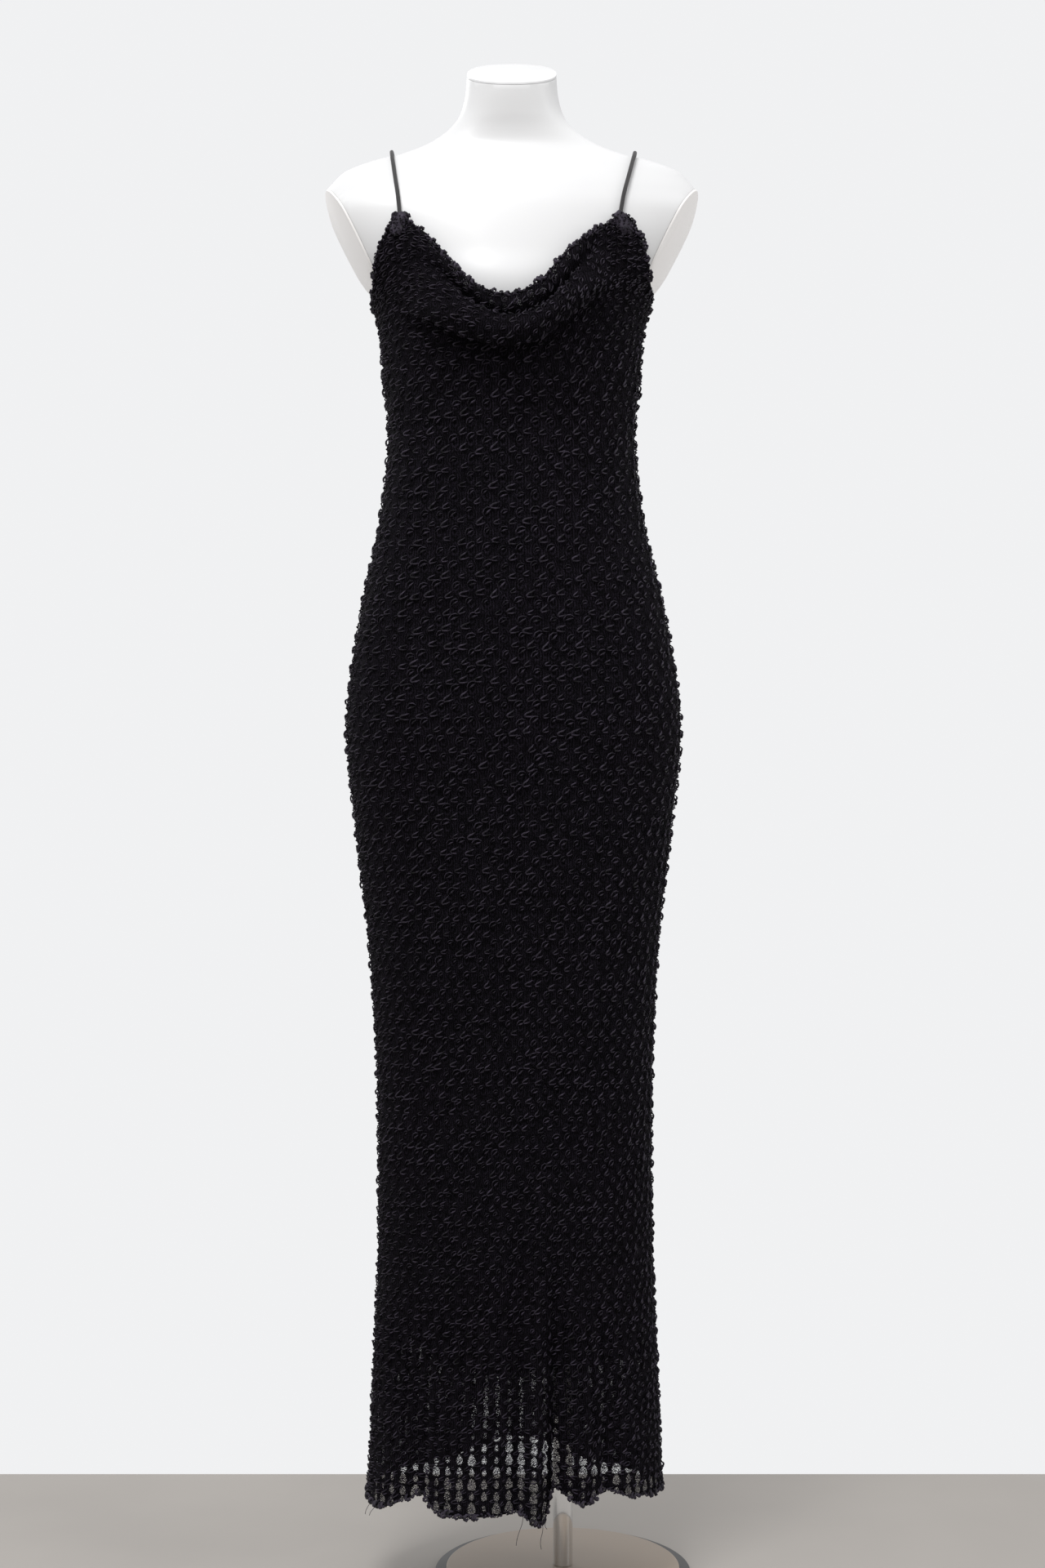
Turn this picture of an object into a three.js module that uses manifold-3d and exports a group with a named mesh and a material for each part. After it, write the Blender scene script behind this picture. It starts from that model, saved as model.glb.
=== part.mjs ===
// A knitted slip dress with a cowl neck and two cord straps, on a limbless dress form with a pole
// and a round base. Millimetres, +Z up, the front towards -Y. The origin is the centre of the
// base's underside, on the floor.

import * as THREE from "three";
import { mergeVertices } from "three/addons/utils/BufferGeometryUtils.js";
import Module from "manifold-3d";

// ---------------------------------------------------------------- driving dimensions

const BASE_RADIUS = 140;
const BASE_HEIGHT = 3.5;
const DISC_RADIUS = 128;
const DISC_HEIGHT = 4.5;
const DISC_EDGE = 1.5;
const POLE_RADIUS = 11;
const POLE_TOP = 824;
const TOUCH_GAP = 0.3;

// The upright axis of the torso and of the dress, measured from the pole.
const AXIS_X = -54;
const AXIS_Y = -16;

// Every section is an ellipse with its corners pushed out by this share of its radius.
const SECTION_FULLNESS = 0.045;

// Dress, outside: [height, half width, reach to the front, reach to the back, sideways drift].
const DRESS_SECTIONS = [
  [60, 162, 98, 94, 1],
  [150, 157, 94, 90, 2],
  [241, 153.5, 90, 88, 2],
  [366, 148.5, 86, 86, 2],
  [562, 149.5, 90, 92, 1],
  [704, 158, 99, 106, 0],
  [811, 170.5, 106, 118, 0],
  [936, 181, 111, 129, 0],
  [1061, 163, 106, 118, -1],
  [1150, 143.5, 99, 101, -2],
  [1240, 133.5, 97, 90, -2],
  [1293, 138, 104, 90, -2],
  [1385, 151.5, 114, 92, -2],
  [1430, 196, 103, 94, -2],
  [1480, 228, 89, 94, -2],
];

// Torso: the same five columns, from its flat underside to the top of the neck.
const TORSO_SECTIONS = [
  [764, 118, 66, 76, 0],
  [769, 138, 80, 92, 0],
  [787, 156, 92, 106, 0],
  [811, 162.8, 98, 110, 0],
  [860, 168.4, 101, 115.4, 0],
  [936, 173.2, 103.4, 121.2, 0],
  [1061, 155.4, 98, 109.4, -1],
  [1150, 136, 91, 90, -2],
  [1240, 124.5, 85, 74, -2],
  [1293, 128, 93, 76, -2],
  [1385, 144, 106.5, 85, -2],
  [1430, 187, 96, 88, -2],
  [1480, 222, 82, 88, -2],
  [1503, 208, 72, 83, -2],
  [1518, 196, 63, 76, -2],
  [1531, 182, 54, 69, -2],
  [1541, 156, 48, 63, -2],
  [1547, 130, 45, 59, -2],
  [1557, 101, 42, 55, -2],
  [1571, 76, 42, 51, -2],
  [1587, 60, 44, 49, -2],
  [1608, 52, 46, 49, -2],
  [1635, 49, 47, 50, -2],
  [1690, 48, 48, 52, -2],
];

// The flat cuts of the torso: a point that the cut passes through, and its outward direction.
const ARM_CUT_REACH = 199;
const ARM_CUT_HEIGHT = 1505;
const ARM_CUT_LEAN = 25;
const ARM_CUT_TURN = 9;
const ARMPIT_HEIGHT = 1400;
const NECK_CUT_HEIGHT = 1638;
const NECK_CUT_LEAN = 27;
const PLATE_THICKNESS = 2;
const SOCKET_DEPTH = 60.5;

// Cloth.
const KNIT_WALL = 2.4;
const LINING_WALL = 1.0;
const LINING_INSET = 4.0;
const SEAM_GAP = 0.4;
const UNDERARM_HEIGHT = 1385;

// Front hem: height above the floor at places across the front, from the left side to the right.
const FRONT_HEM = [
  [-165, 98], [-135, 94], [-108, 108], [-98, 112], [-84, 99], [-50, 94], [-10, 97],
  [6, 99], [22, 88], [34, 93], [42, 120], [56, 113], [72, 106], [92, 118], [114, 110], [165, 100],
];
// Back hem: it rides up over the seat.
const BACK_HEM = [
  [-165, 98], [-120, 100], [-80, 108], [-30, 122], [5, 132], [35, 124], [85, 107], [125, 100], [165, 100],
];
// Half the width of the hem, for places across it.
const HEM_REACH = 160;

// Soft folds of the skirt: [place across, half width, depth at the hem, height where they start].
// A negative depth is a trough and a positive one is a ridge.
const FRONT_FOLDS = [
  [-136, 20, 5, 330],
  [-100, 11, -8, 300],
  [-58, 34, 3, 420],
  [1, 12, -9, 540],
  [22, 13, 9, 470],
  [42, 11, -22, 460],
  [72, 18, 6, 400],
  [95, 10, -6, 300],
  [120, 16, 5, 320],
];
const BACK_FOLDS = [
  [-112, 18, 5, 330],
  [-70, 14, -9, 400],
  [-30, 20, 6, 430],
  [6, 14, -11, 520],
  [40, 18, 6, 420],
  [76, 13, -8, 380],
  [115, 18, 5, 320],
];

// Cowl: lines that cross the front from armhole to armhole, from below the roll to the neckline.
// left, right: height where the line meets the side. out: how far it stands off the chest at its
// middle. path: [place across, height].
const COWL_LINES = [
  {
    left: 1330, right: 1334, out: 0,
    path: [[-100, 1322], [-50, 1306], [0, 1300], [50, 1308], [100, 1326]],
  },
  {
    left: 1352, right: 1364, out: 2.5,
    path: [[-112, 1356], [-60, 1346], [-8, 1336], [40, 1350], [95, 1372]],
  },
  {
    left: 1364, right: 1386, out: 15,
    path: [[-112, 1362], [-81, 1349], [-45, 1330], [-9, 1320], [24, 1328], [50, 1350], [92, 1384]],
  },
  {
    left: 1378, right: 1398, out: 22,
    path: [[-112, 1378], [-78, 1366], [-42, 1347], [-8, 1336], [26, 1346], [54, 1368], [92, 1402]],
  },
  {
    left: 1400, right: 1414, out: 15,
    path: [[-112, 1402], [-76, 1388], [-40, 1364], [-6, 1352], [28, 1362], [58, 1390], [94, 1424]],
  },
  {
    left: 1418, right: 1430, out: 5,
    path: [[-112, 1422], [-74, 1402], [-38, 1364], [-5, 1349], [30, 1360], [56, 1392], [90, 1434]],
  },
  {
    left: 1442, right: 1448, out: 12,
    path: [[-112, 1443], [-80, 1420], [-42, 1380], [-8, 1364], [26, 1374], [52, 1404], [84, 1443]],
  },
  {
    left: 1466, right: 1467, out: 7,
    path: [
      [-106, 1456], [-84, 1437], [-47, 1394], [-12, 1376],
      [22, 1386], [51, 1418], [80, 1446], [104, 1459],
    ],
  },
];
// Places across where the standing off has faded away, and the share of them where it starts to.
const COWL_FADE_LEFT = 128;
const COWL_FADE_RIGHT = 112;
const COWL_FADE_FROM = 0.42;

// Armhole edge of the front: [height, angle round the section from the middle of the front].
const ARMHOLE_EDGE = [
  [1385, 89.9], [1394, 70], [1406, 56], [1438, 41], [1455, 37.2], [1467, 32.6], [1480, 30],
];

// Back neckline, straight across with raised sides.
const BACK_NECK = [[-155, 1385], [-92, 1372], [-40, 1362], [0, 1360], [40, 1362], [92, 1372], [155, 1385]];
const BACK_NECK_REACH = 152;

// Lining edges, front and back.
const LINING_HEM = [[-165, 252], [-125, 268], [-100, 272], [-84, 246], [0, 241], [70, 248], [165, 246]];
const LINING_TOP = [[-155, 1330], [-80, 1304], [0, 1284], [80, 1304], [155, 1330]];
const LINING_REACH = 155;
// The lining hangs further in by this much between these heights, where the knit falls in folds.
const LINING_ROOM = 15;
const LINING_ROOM_FROM = 560;
const LINING_ROOM_FULL = 250;

// Straps: round cords.
const STRAP_RADIUS = 2.2;
const STRAP_CLEARANCE = 1.9;
const STRAP_FRONT_LEFT = [119, 1471];
const STRAP_FRONT_RIGHT = [112, 1471];
const STRAP_TOP = [131, 1545.5];
const STRAP_BACK = [92, 1377];

// ---------------------------------------------------------------- curves and sections

// A smooth curve through rows of numbers, the first of which is the place along it.
function along(rows, place, column = 1) {
  const last = rows.length - 1;
  if (place <= rows[0][0]) {
    return rows[0][column];
  }
  if (place >= rows[last][0]) {
    return rows[last][column];
  }
  const i = rows.findIndex((row, index) => place < rows[index + 1][0]);
  const slope = (a, b) => (rows[b][column] - rows[a][column]) / (rows[b][0] - rows[a][0]);
  const startSlope = i > 0 ? slope(i - 1, i + 1) : slope(0, 1);
  const endSlope = i + 2 <= last ? slope(i, i + 2) : slope(i, i + 1);
  const span = rows[i + 1][0] - rows[i][0];
  const s = (place - rows[i][0]) / span;
  const s2 = s * s;
  const s3 = s2 * s;
  return (2 * s3 - 3 * s2 + 1) * rows[i][column]
    + (s3 - 2 * s2 + s) * span * startSlope
    + (3 * s2 - 2 * s3) * rows[i + 1][column]
    + (s3 - s2) * span * endSlope;
}

function smoothstep(start, end, value) {
  const s = THREE.MathUtils.clamp((value - start) / (end - start), 0, 1);
  return s * s * (3 - 2 * s);
}

// A point of a section: angle 0 is the middle of the front, 90 the right side, 180 the back.
function sectionPoint(sections, height, angle, outward = 0) {
  const t = THREE.MathUtils.degToRad(angle);
  const halfWidth = along(sections, height, 1);
  const front = along(sections, height, 2);
  const back = along(sections, height, 3);
  const depth = Math.cos(t) > 0 ? front : back;
  const full = 1 + SECTION_FULLNESS * Math.sin(2 * t) ** 2;
  const normal = new THREE.Vector2(Math.sin(t) / halfWidth, -Math.cos(t) / depth).normalize();
  return new THREE.Vector3(
    along(sections, height, 4) + halfWidth * Math.sin(t) * full + normal.x * outward,
    -depth * Math.cos(t) * full + normal.y * outward,
    height,
  );
}

// ---------------------------------------------------------------- solids from rings and grids

function geometryFrom(points, triangles) {
  const geometry = new THREE.BufferGeometry();
  const flat = points.flatMap((p) => [p.x, p.y, p.z]);
  geometry.setAttribute("position", new THREE.Float32BufferAttribute(flat, 3));
  geometry.setIndex(triangles);
  return geometry;
}

// A closed body through equal rings, listed from the bottom up, each anticlockwise from above.
function loft(rings) {
  const count = rings[0].length;
  const points = rings.flat();
  const triangles = [];
  for (let r = 0; r < rings.length - 1; r += 1) {
    for (let k = 0; k < count; k += 1) {
      const a = r * count + k;
      const b = r * count + (k + 1) % count;
      triangles.push(a, b, b + count, a, b + count, a + count);
    }
  }
  const middle = (ring) => ring.reduce((sum, p) => sum.add(p), new THREE.Vector3()).divideScalar(count);
  const bottom = points.push(middle(rings[0])) - 1;
  const top = points.push(middle(rings[rings.length - 1])) - 1;
  const topStart = (rings.length - 1) * count;
  for (let k = 0; k < count; k += 1) {
    const next = (k + 1) % count;
    triangles.push(bottom, next, k, top, topStart + k, topStart + next);
  }
  return geometryFrom(points, triangles);
}

// Outward directions of a grid of points, rows upward and columns to the right of the front.
function gridNormals(grid) {
  return grid.map((row, r) => row.map((point, c) => {
    const up = grid[Math.min(r + 1, grid.length - 1)][c].clone().sub(grid[Math.max(r - 1, 0)][c]);
    const across = row[Math.min(c + 1, row.length - 1)].clone().sub(row[Math.max(c - 1, 0)]);
    return across.cross(up).normalize();
  }));
}

// A wall of cloth: the grid is its outside, and the inside is the grid moved in by the thickness.
// Along the side seams the inside moves straight in, so that the seam's gap stays even.
function clothWall(grid, thickness, seamRows) {
  const normals = gridNormals(grid);
  const lastColumn = grid[0].length - 1;
  const inside = grid.map((row, r) => row.map((point, c) => {
    const direction = normals[r][c].clone();
    if ((c === 0 || c === lastColumn) && r <= seamRows) {
      direction.y = 0;
      direction.normalize();
    }
    return point.clone().addScaledVector(direction, -thickness);
  }));
  const rows = grid.length;
  const columns = lastColumn + 1;
  const points = [...grid.flat(), ...inside.flat()];
  const half = rows * columns;
  const triangles = [];
  const quad = (a, b, c, d) => triangles.push(a, b, c, a, c, d);
  for (let r = 0; r < rows - 1; r += 1) {
    for (let c = 0; c < lastColumn; c += 1) {
      const a = r * columns + c;
      quad(a, a + 1, a + 1 + columns, a + columns);
      quad(half + a, half + a + columns, half + a + columns + 1, half + a + 1);
    }
    const left = r * columns;
    const right = left + lastColumn;
    quad(left, left + columns, half + left + columns, half + left);
    quad(right, half + right, half + right + columns, right + columns);
  }
  for (let c = 0; c < lastColumn; c += 1) {
    const top = (rows - 1) * columns + c;
    quad(c, half + c, half + c + 1, c + 1);
    quad(top, top + 1, half + top + 1, half + top);
  }
  return geometryFrom(points, triangles);
}

const manifoldLibrary = await Module();
manifoldLibrary.setup();

function toManifold(geometry) {
  const bare = geometry.clone();
  bare.deleteAttribute("normal");
  bare.deleteAttribute("uv");
  const merged = mergeVertices(bare, 1e-4);
  const mesh = new manifoldLibrary.Mesh({
    numProp: 3,
    vertProperties: new Float32Array(merged.attributes.position.array),
    triVerts: new Uint32Array(merged.index.array),
  });
  return new manifoldLibrary.Manifold(mesh);
}

function fromManifold(solid) {
  const mesh = solid.getMesh();
  const geometry = new THREE.BufferGeometry();
  geometry.setAttribute("position", new THREE.Float32BufferAttribute(mesh.vertProperties, mesh.numProp));
  geometry.setIndex(Array.from(mesh.triVerts));
  return geometry;
}

// ---------------------------------------------------------------- base and pole

const BASE_EDGE = 1;
const BASE_SIDES = 56;
const POLE_SIDES = 32;

function baseGeometry() {
  const profile = [
    [0, 0], [BASE_RADIUS - BASE_EDGE, 0], [BASE_RADIUS, BASE_EDGE],
    [BASE_RADIUS, BASE_HEIGHT - BASE_EDGE], [BASE_RADIUS - BASE_EDGE, BASE_HEIGHT], [0, BASE_HEIGHT],
  ];
  return turned(profile, BASE_SIDES);
}

function discGeometry() {
  const bottom = BASE_HEIGHT + TOUCH_GAP;
  const top = bottom + DISC_HEIGHT;
  const profile = [
    [0, bottom], [DISC_RADIUS - DISC_EDGE, bottom], [DISC_RADIUS, bottom + DISC_EDGE],
    [DISC_RADIUS, top - DISC_EDGE], [DISC_RADIUS - DISC_EDGE, top], [0, top],
  ];
  return turned(profile, BASE_SIDES);
}

function poleGeometry() {
  const bottom = BASE_HEIGHT + DISC_HEIGHT + 2 * TOUCH_GAP;
  return turned([[0, bottom], [POLE_RADIUS, bottom], [POLE_RADIUS, POLE_TOP], [0, POLE_TOP]], POLE_SIDES);
}

// A turned body about the pole's axis, from [radius, height] pairs listed from the bottom up.
function turned(profile, sides) {
  const points = profile.map(([radius, height]) => new THREE.Vector2(radius, height));
  return new THREE.LatheGeometry(points, sides).rotateX(Math.PI / 2);
}

// ---------------------------------------------------------------- dress form

const TORSO_SIDES = 40;
const TORSO_STEP = 40;

function torsoHeights() {
  const heights = [];
  for (let i = 0; i < TORSO_SECTIONS.length - 1; i += 1) {
    const start = TORSO_SECTIONS[i][0];
    const span = TORSO_SECTIONS[i + 1][0] - start;
    const steps = Math.ceil(span / TORSO_STEP);
    for (let k = 0; k < steps; k += 1) {
      heights.push(start + (span * k) / steps);
    }
  }
  heights.push(TORSO_SECTIONS[TORSO_SECTIONS.length - 1][0]);
  return heights;
}

function torsoLoft() {
  const rings = torsoHeights().map((height) => {
    const ring = [];
    for (let k = 0; k < TORSO_SIDES; k += 1) {
      ring.push(sectionPoint(TORSO_SECTIONS, height, (360 * k) / TORSO_SIDES));
    }
    return ring;
  });
  return loft(rings);
}

// A large block whose flat underside lies on a cut, from a distance outside it.
function blockBeyond(point, outward, distance, thickness) {
  const size = 400;
  const block = new THREE.BoxGeometry(size, size, thickness);
  const turn = new THREE.Quaternion().setFromUnitVectors(new THREE.Vector3(0, 0, 1), outward);
  const centre = point.clone().addScaledVector(outward, distance + thickness / 2);
  block.applyQuaternion(turn);
  block.translate(centre.x, centre.y, centre.z);
  return toManifold(block);
}

// All that is higher than a height, as a large block.
function spaceAbove(height) {
  const size = 900;
  return toManifold(new THREE.BoxGeometry(size, size, size).translate(0, 0, height + size / 2));
}

function armCut(side) {
  const lean = THREE.MathUtils.degToRad(ARM_CUT_LEAN);
  const turn = THREE.MathUtils.degToRad(ARM_CUT_TURN);
  const outward = new THREE.Vector3(side * Math.cos(lean), -Math.sin(turn), -Math.sin(lean)).normalize();
  const reach = side * ARM_CUT_REACH + along(TORSO_SECTIONS, ARM_CUT_HEIGHT, 4);
  return { point: new THREE.Vector3(reach, 0, ARM_CUT_HEIGHT), outward, above: ARMPIT_HEIGHT };
}

function neckCut() {
  const lean = THREE.MathUtils.degToRad(NECK_CUT_LEAN);
  const outward = new THREE.Vector3(0, -Math.sin(lean), Math.cos(lean));
  return { point: new THREE.Vector3(0, 0, NECK_CUT_HEIGHT), outward, above: ARM_CUT_HEIGHT };
}

const wholeTorso = toManifold(torsoLoft());

function torsoGeometry() {
  const beyond = 300;
  let solid = wholeTorso;
  for (const cut of [armCut(-1), armCut(1), neckCut()]) {
    const block = blockBeyond(cut.point, cut.outward, 0, beyond);
    solid = solid.subtract(block.intersect(spaceAbove(cut.above)));
  }
  const bottom = TORSO_SECTIONS[0][0] - SOCKET_DEPTH;
  const top = TORSO_SECTIONS[0][0] + SOCKET_DEPTH;
  const radius = POLE_RADIUS + TOUCH_GAP;
  const socket = turned([[0, bottom], [radius, bottom], [radius, top], [0, top]], POLE_SIDES);
  socket.translate(-AXIS_X, -AXIS_Y, 0);
  return fromManifold(solid.subtract(toManifold(socket)));
}

// A flat plate over a cut, with the cut's own outline.
function plateGeometry(cut) {
  const slab = blockBeyond(cut.point, cut.outward, TOUCH_GAP, PLATE_THICKNESS);
  return fromManifold(wholeTorso.intersect(slab).intersect(spaceAbove(cut.above + 1)));
}

// ---------------------------------------------------------------- cloth

// The folds run out this far above the hem, and the cloth is calm this many degrees from a seam.
const FOLD_RUNOUT = 40;
const CALM_DEGREES = 22;

// Sideways drift is left out here: places across are measured from the dress's own middle.
function foldDepth(folds, place, height, hem) {
  return folds.reduce((sum, [middle, halfWidth, depth, start]) => {
    const grown = smoothstep(start, hem - FOLD_RUNOUT, height);
    return sum + depth * grown * Math.exp(-(((place - middle) / halfWidth) ** 2));
  }, 0);
}

const FRONT_COLUMNS = 26;
const CREASES_FROM = -12;
const CREASES_TO = 26;

// Angles round the section for the columns of the front: closer together at the two creases.
function frontAngles() {
  const angles = [];
  const step = 180 / FRONT_COLUMNS;
  for (let k = 0; k <= FRONT_COLUMNS; k += 1) {
    const angle = -90 + k * step;
    angles.push(angle);
    if (angle > CREASES_FROM && angle < CREASES_TO) {
      angles.push(angle + step / 2);
    }
  }
  return angles;
}

// Keeps the first and last column half a seam gap away from the side seam.
function seamAngle(angle, depth, middle) {
  const trim = THREE.MathUtils.radToDeg(SEAM_GAP / 2 / depth);
  const offset = THREE.MathUtils.clamp(angle - middle, -90 + trim, 90 - trim);
  return middle + offset;
}

function panelPoint(angle, middle, height, folds, hem, outward = 0) {
  const depth = along(DRESS_SECTIONS, height, middle === 0 ? 2 : 3);
  const flat = sectionPoint(DRESS_SECTIONS, height, seamAngle(angle, depth, middle));
  const place = flat.x - along(DRESS_SECTIONS, height, 4);
  const nearSeam = smoothstep(0, CALM_DEGREES, 90 - Math.abs(angle - middle));
  const fold = nearSeam * foldDepth(folds, place, height, hem);
  return sectionPoint(DRESS_SECTIONS, height, seamAngle(angle, depth, middle), fold + outward);
}

// Heights of a panel's rows: they follow the hem at the bottom and lie level higher up.
const ROW_HEIGHTS = [
  98, 120, 145, 175, 210, 250, 300, 355, 415, 480, 545, 610, 675, 740, 800, 855, 905, 955,
  1010, 1065, 1110, 1155, 1200, 1240,
];
const LEVEL_ABOVE = 320;

function rowHeight(level, hem) {
  const share = THREE.MathUtils.clamp((LEVEL_ABOVE - level) / (LEVEL_ABOVE - ROW_HEIGHTS[0]), 0, 1);
  return level + (hem - ROW_HEIGHTS[0]) * share * share;
}

function bodyRows(angles, middle, hemLine, folds) {
  return ROW_HEIGHTS.map((level) => angles.map((angle) => {
    const side = middle === 0 ? 1 : -1;
    const place = side * HEM_REACH * Math.sin(THREE.MathUtils.degToRad(angle - middle));
    const hem = along(hemLine, place);
    return panelPoint(angle, middle, rowHeight(level, hem), folds, hem);
  }));
}

// How much of a cowl line's standing off is left at a place across the front.
function cowlShare(place) {
  const fade = place < 0 ? COWL_FADE_LEFT : COWL_FADE_RIGHT;
  return 1 - smoothstep(COWL_FADE_FROM, 1, Math.abs(place) / fade);
}

function armholeAngle(height) {
  return along(ARMHOLE_EDGE, height);
}

// Height and place across depend on each other along a cowl line, and settle in this many rounds.
const SETTLING_ROUNDS = 12;

// The places of one cowl line, each as (angle, height, distance off the section). A share of 1 is
// its right end, -1 its left end and 0 the middle of the front.
function cowlLine(line, shares) {
  const leftEnd = sectionPoint(DRESS_SECTIONS, line.left, -armholeAngle(line.left));
  const rightEnd = sectionPoint(DRESS_SECTIONS, line.right, armholeAngle(line.right));
  const path = [[leftEnd.x, line.left], ...line.path, [rightEnd.x, line.right]];
  return shares.map((share) => {
    const angle = share * armholeAngle(share < 0 ? line.left : line.right);
    let height = along(path, 0);
    for (let round = 0; round < SETTLING_ROUNDS; round += 1) {
      height = along(path, sectionPoint(DRESS_SECTIONS, height, angle).x);
    }
    const place = sectionPoint(DRESS_SECTIONS, height, angle).x;
    return new THREE.Vector3(angle, height, line.out * cowlShare(place));
  });
}

const COWL_STEPS = 2;
const CHEST_STEPS = 3;
// Cowl rows that still end at the side seam, below the armhole.
const SEAM_COWL_ROWS = CHEST_STEPS + COWL_STEPS;

// Rows from the body's last row up through the cowl lines, on a smooth curve through them.
function cowlRows(shares) {
  const lines = COWL_LINES.map((line) => cowlLine(line, shares));
  const levelRow = (level) => shares.map((share) => new THREE.Vector3(90 * share, level, 0));
  const levels = ROW_HEIGHTS.slice(-2).map(levelRow);
  const control = [...levels, ...lines];
  const rows = [];
  for (let i = 1; i < control.length - 1; i += 1) {
    const steps = i === 1 ? CHEST_STEPS : COWL_STEPS;
    for (let k = 1; k <= steps; k += 1) {
      rows.push(shares.map((share, c) => {
        const after = control[Math.min(i + 2, control.length - 1)][c];
        const { x, y, z } = between(control[i - 1][c], control[i][c], control[i + 1][c], after, k / steps);
        return sectionPoint(DRESS_SECTIONS, y, seamAngle(x, along(DRESS_SECTIONS, y, 2), 0), z);
      }));
    }
  }
  return rows;
}

// A point between b and c on the smooth curve through a, b, c and d.
function between(a, b, c, d, s) {
  const curve = new THREE.CatmullRomCurve3([a, b, c, d], false, "centripetal");
  return curve.getPoint((1 + s) / 3);
}

function frontPanel() {
  const angles = frontAngles();
  const body = bodyRows(angles, 0, FRONT_HEM, FRONT_FOLDS);
  const shares = angles.map((angle) => angle / 90);
  const cowl = cowlRows(shares);
  return clothWall([...body, ...cowl], KNIT_WALL, body.length + SEAM_COWL_ROWS);
}

// Angles round the section, evenly spaced from one side seam to the other.
function evenAngles(middle, count) {
  const angles = [];
  for (let k = 0; k <= count; k += 1) {
    angles.push(middle - 90 + (180 * k) / count);
  }
  return angles;
}

const BACK_COLUMNS = 22;
const BACK_TOP_STEPS = 4;

function backPanel() {
  const angles = evenAngles(180, BACK_COLUMNS);
  const body = bodyRows(angles, 180, BACK_HEM, BACK_FOLDS);
  const top = ROW_HEIGHTS[ROW_HEIGHTS.length - 1];
  const rows = [];
  for (let k = 1; k <= BACK_TOP_STEPS; k += 1) {
    rows.push(angles.map((angle) => {
      const place = BACK_NECK_REACH * Math.sin(THREE.MathUtils.degToRad(angle));
      const neck = Math.min(along(BACK_NECK, place), UNDERARM_HEIGHT);
      return panelPoint(angle, 180, top + ((neck - top) * k) / BACK_TOP_STEPS, [], 0);
    }));
  }
  return clothWall([...body, ...rows], KNIT_WALL, body.length + BACK_TOP_STEPS);
}

const LINING_COLUMNS = 14;
const LINING_LEVELS = 24;

// The lining hangs straight inside the knit, further in where the knit falls in folds.
function liningPanel(middle) {
  const angles = evenAngles(middle, LINING_COLUMNS);
  const grid = [];
  for (let r = 0; r <= LINING_LEVELS; r += 1) {
    grid.push(angles.map((angle) => {
      const side = middle === 0 ? 1 : -1;
      const place = side * LINING_REACH * Math.sin(THREE.MathUtils.degToRad(angle - middle));
      const hem = along(LINING_HEM, place);
      const top = along(LINING_TOP, place);
      const height = hem + ((top - hem) * r) / LINING_LEVELS;
      const low = smoothstep(LINING_ROOM_FROM, LINING_ROOM_FULL, height);
      const nearSeam = smoothstep(0, CALM_DEGREES, 90 - Math.abs(angle - middle));
      return panelPoint(angle, middle, height, [], 0, -LINING_INSET - LINING_ROOM * low * nearSeam);
    }));
  }
  return clothWall(grid, LINING_WALL, grid.length);
}

// A strap runs from the front corner up the chest, over the shoulder and down the back. It lies
// clear of the torso by the same distance all the way.
const STRAP_STATIONS = [0, 0.25, 0.5, 0.72, 0.87, 0.96, 0.995];

function strapRoute(side) {
  const start = side < 0 ? STRAP_FRONT_LEFT : STRAP_FRONT_RIGHT;
  const front = STRAP_STATIONS.map((share) => strapPoint(side, start, share, 0));
  const back = STRAP_STATIONS.map((share) => strapPoint(side, STRAP_BACK, share, 180)).reverse();
  return [...front, ...back];
}

function strapPoint(side, end, share, middle) {
  const place = side * THREE.MathUtils.lerp(end[0], STRAP_TOP[0], share);
  const height = THREE.MathUtils.lerp(end[1], STRAP_TOP[1], share);
  const angle = angleAtPlace(place, height, middle);
  const lift = STRAP_RADIUS + STRAP_CLEARANCE;
  return sectionPoint(TORSO_SECTIONS, height, angle).addScaledVector(torsoNormal(height, angle), lift);
}

const HALVING_ROUNDS = 30;

// The angle round the torso, on its front or its back, where it is at a place across.
function angleAtPlace(place, height, middle) {
  const facing = middle === 0 ? 1 : -1;
  let low = -90;
  let high = 90;
  for (let round = 0; round < HALVING_ROUNDS; round += 1) {
    const half = (low + high) / 2;
    const x = sectionPoint(TORSO_SECTIONS, height, middle + facing * half).x;
    if (x < place) {
      low = half;
    } else {
      high = half;
    }
  }
  return middle + (facing * (low + high)) / 2;
}

function torsoNormal(height, angle) {
  const step = 0.5;
  const at = (h, a) => sectionPoint(TORSO_SECTIONS, h, a);
  const up = at(height + step, angle).sub(at(height - step, angle));
  const across = at(height, angle + step).sub(at(height, angle - step));
  return across.cross(up).normalize();
}

const STRAP_STEPS = 28;
const STRAP_SIDES = 8;

function strapGeometry(side) {
  const section = new THREE.Shape(roundSection(STRAP_RADIUS, STRAP_SIDES));
  const route = new THREE.CatmullRomCurve3(strapRoute(side), false, "centripetal");
  const path = { steps: STRAP_STEPS, bevelEnabled: false, extrudePath: route };
  return new THREE.ExtrudeGeometry(section, path);
}

function roundSection(radius, sides) {
  const corners = [];
  for (let k = 0; k < sides; k += 1) {
    const turn = (Math.PI * (2 * k + 1)) / sides;
    corners.push(new THREE.Vector2(radius * Math.cos(turn), radius * Math.sin(turn)));
  }
  return corners;
}

// ---------------------------------------------------------------- materials and the object

// Each finish makes a new material, so that every piece has its own.
function finish(color, roughness, metalness) {
  return () => new THREE.MeshStandardMaterial({ color, roughness, metalness });
}

const knit = finish(0x0d0c10, 0.8, 0);
const jersey = finish(0x0b0b0c, 0.75, 0);
const cord = finish(0x111013, 0.6, 0);
const shell = finish(0xf2f2f0, 0.35, 0);
const chrome = finish(0xd8dadd, 0.12, 1);
const paleDisc = finish(0xb9b2a6, 0.4, 0);
const darkPlate = finish(0x1c1b1a, 0.5, 0.2);

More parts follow.
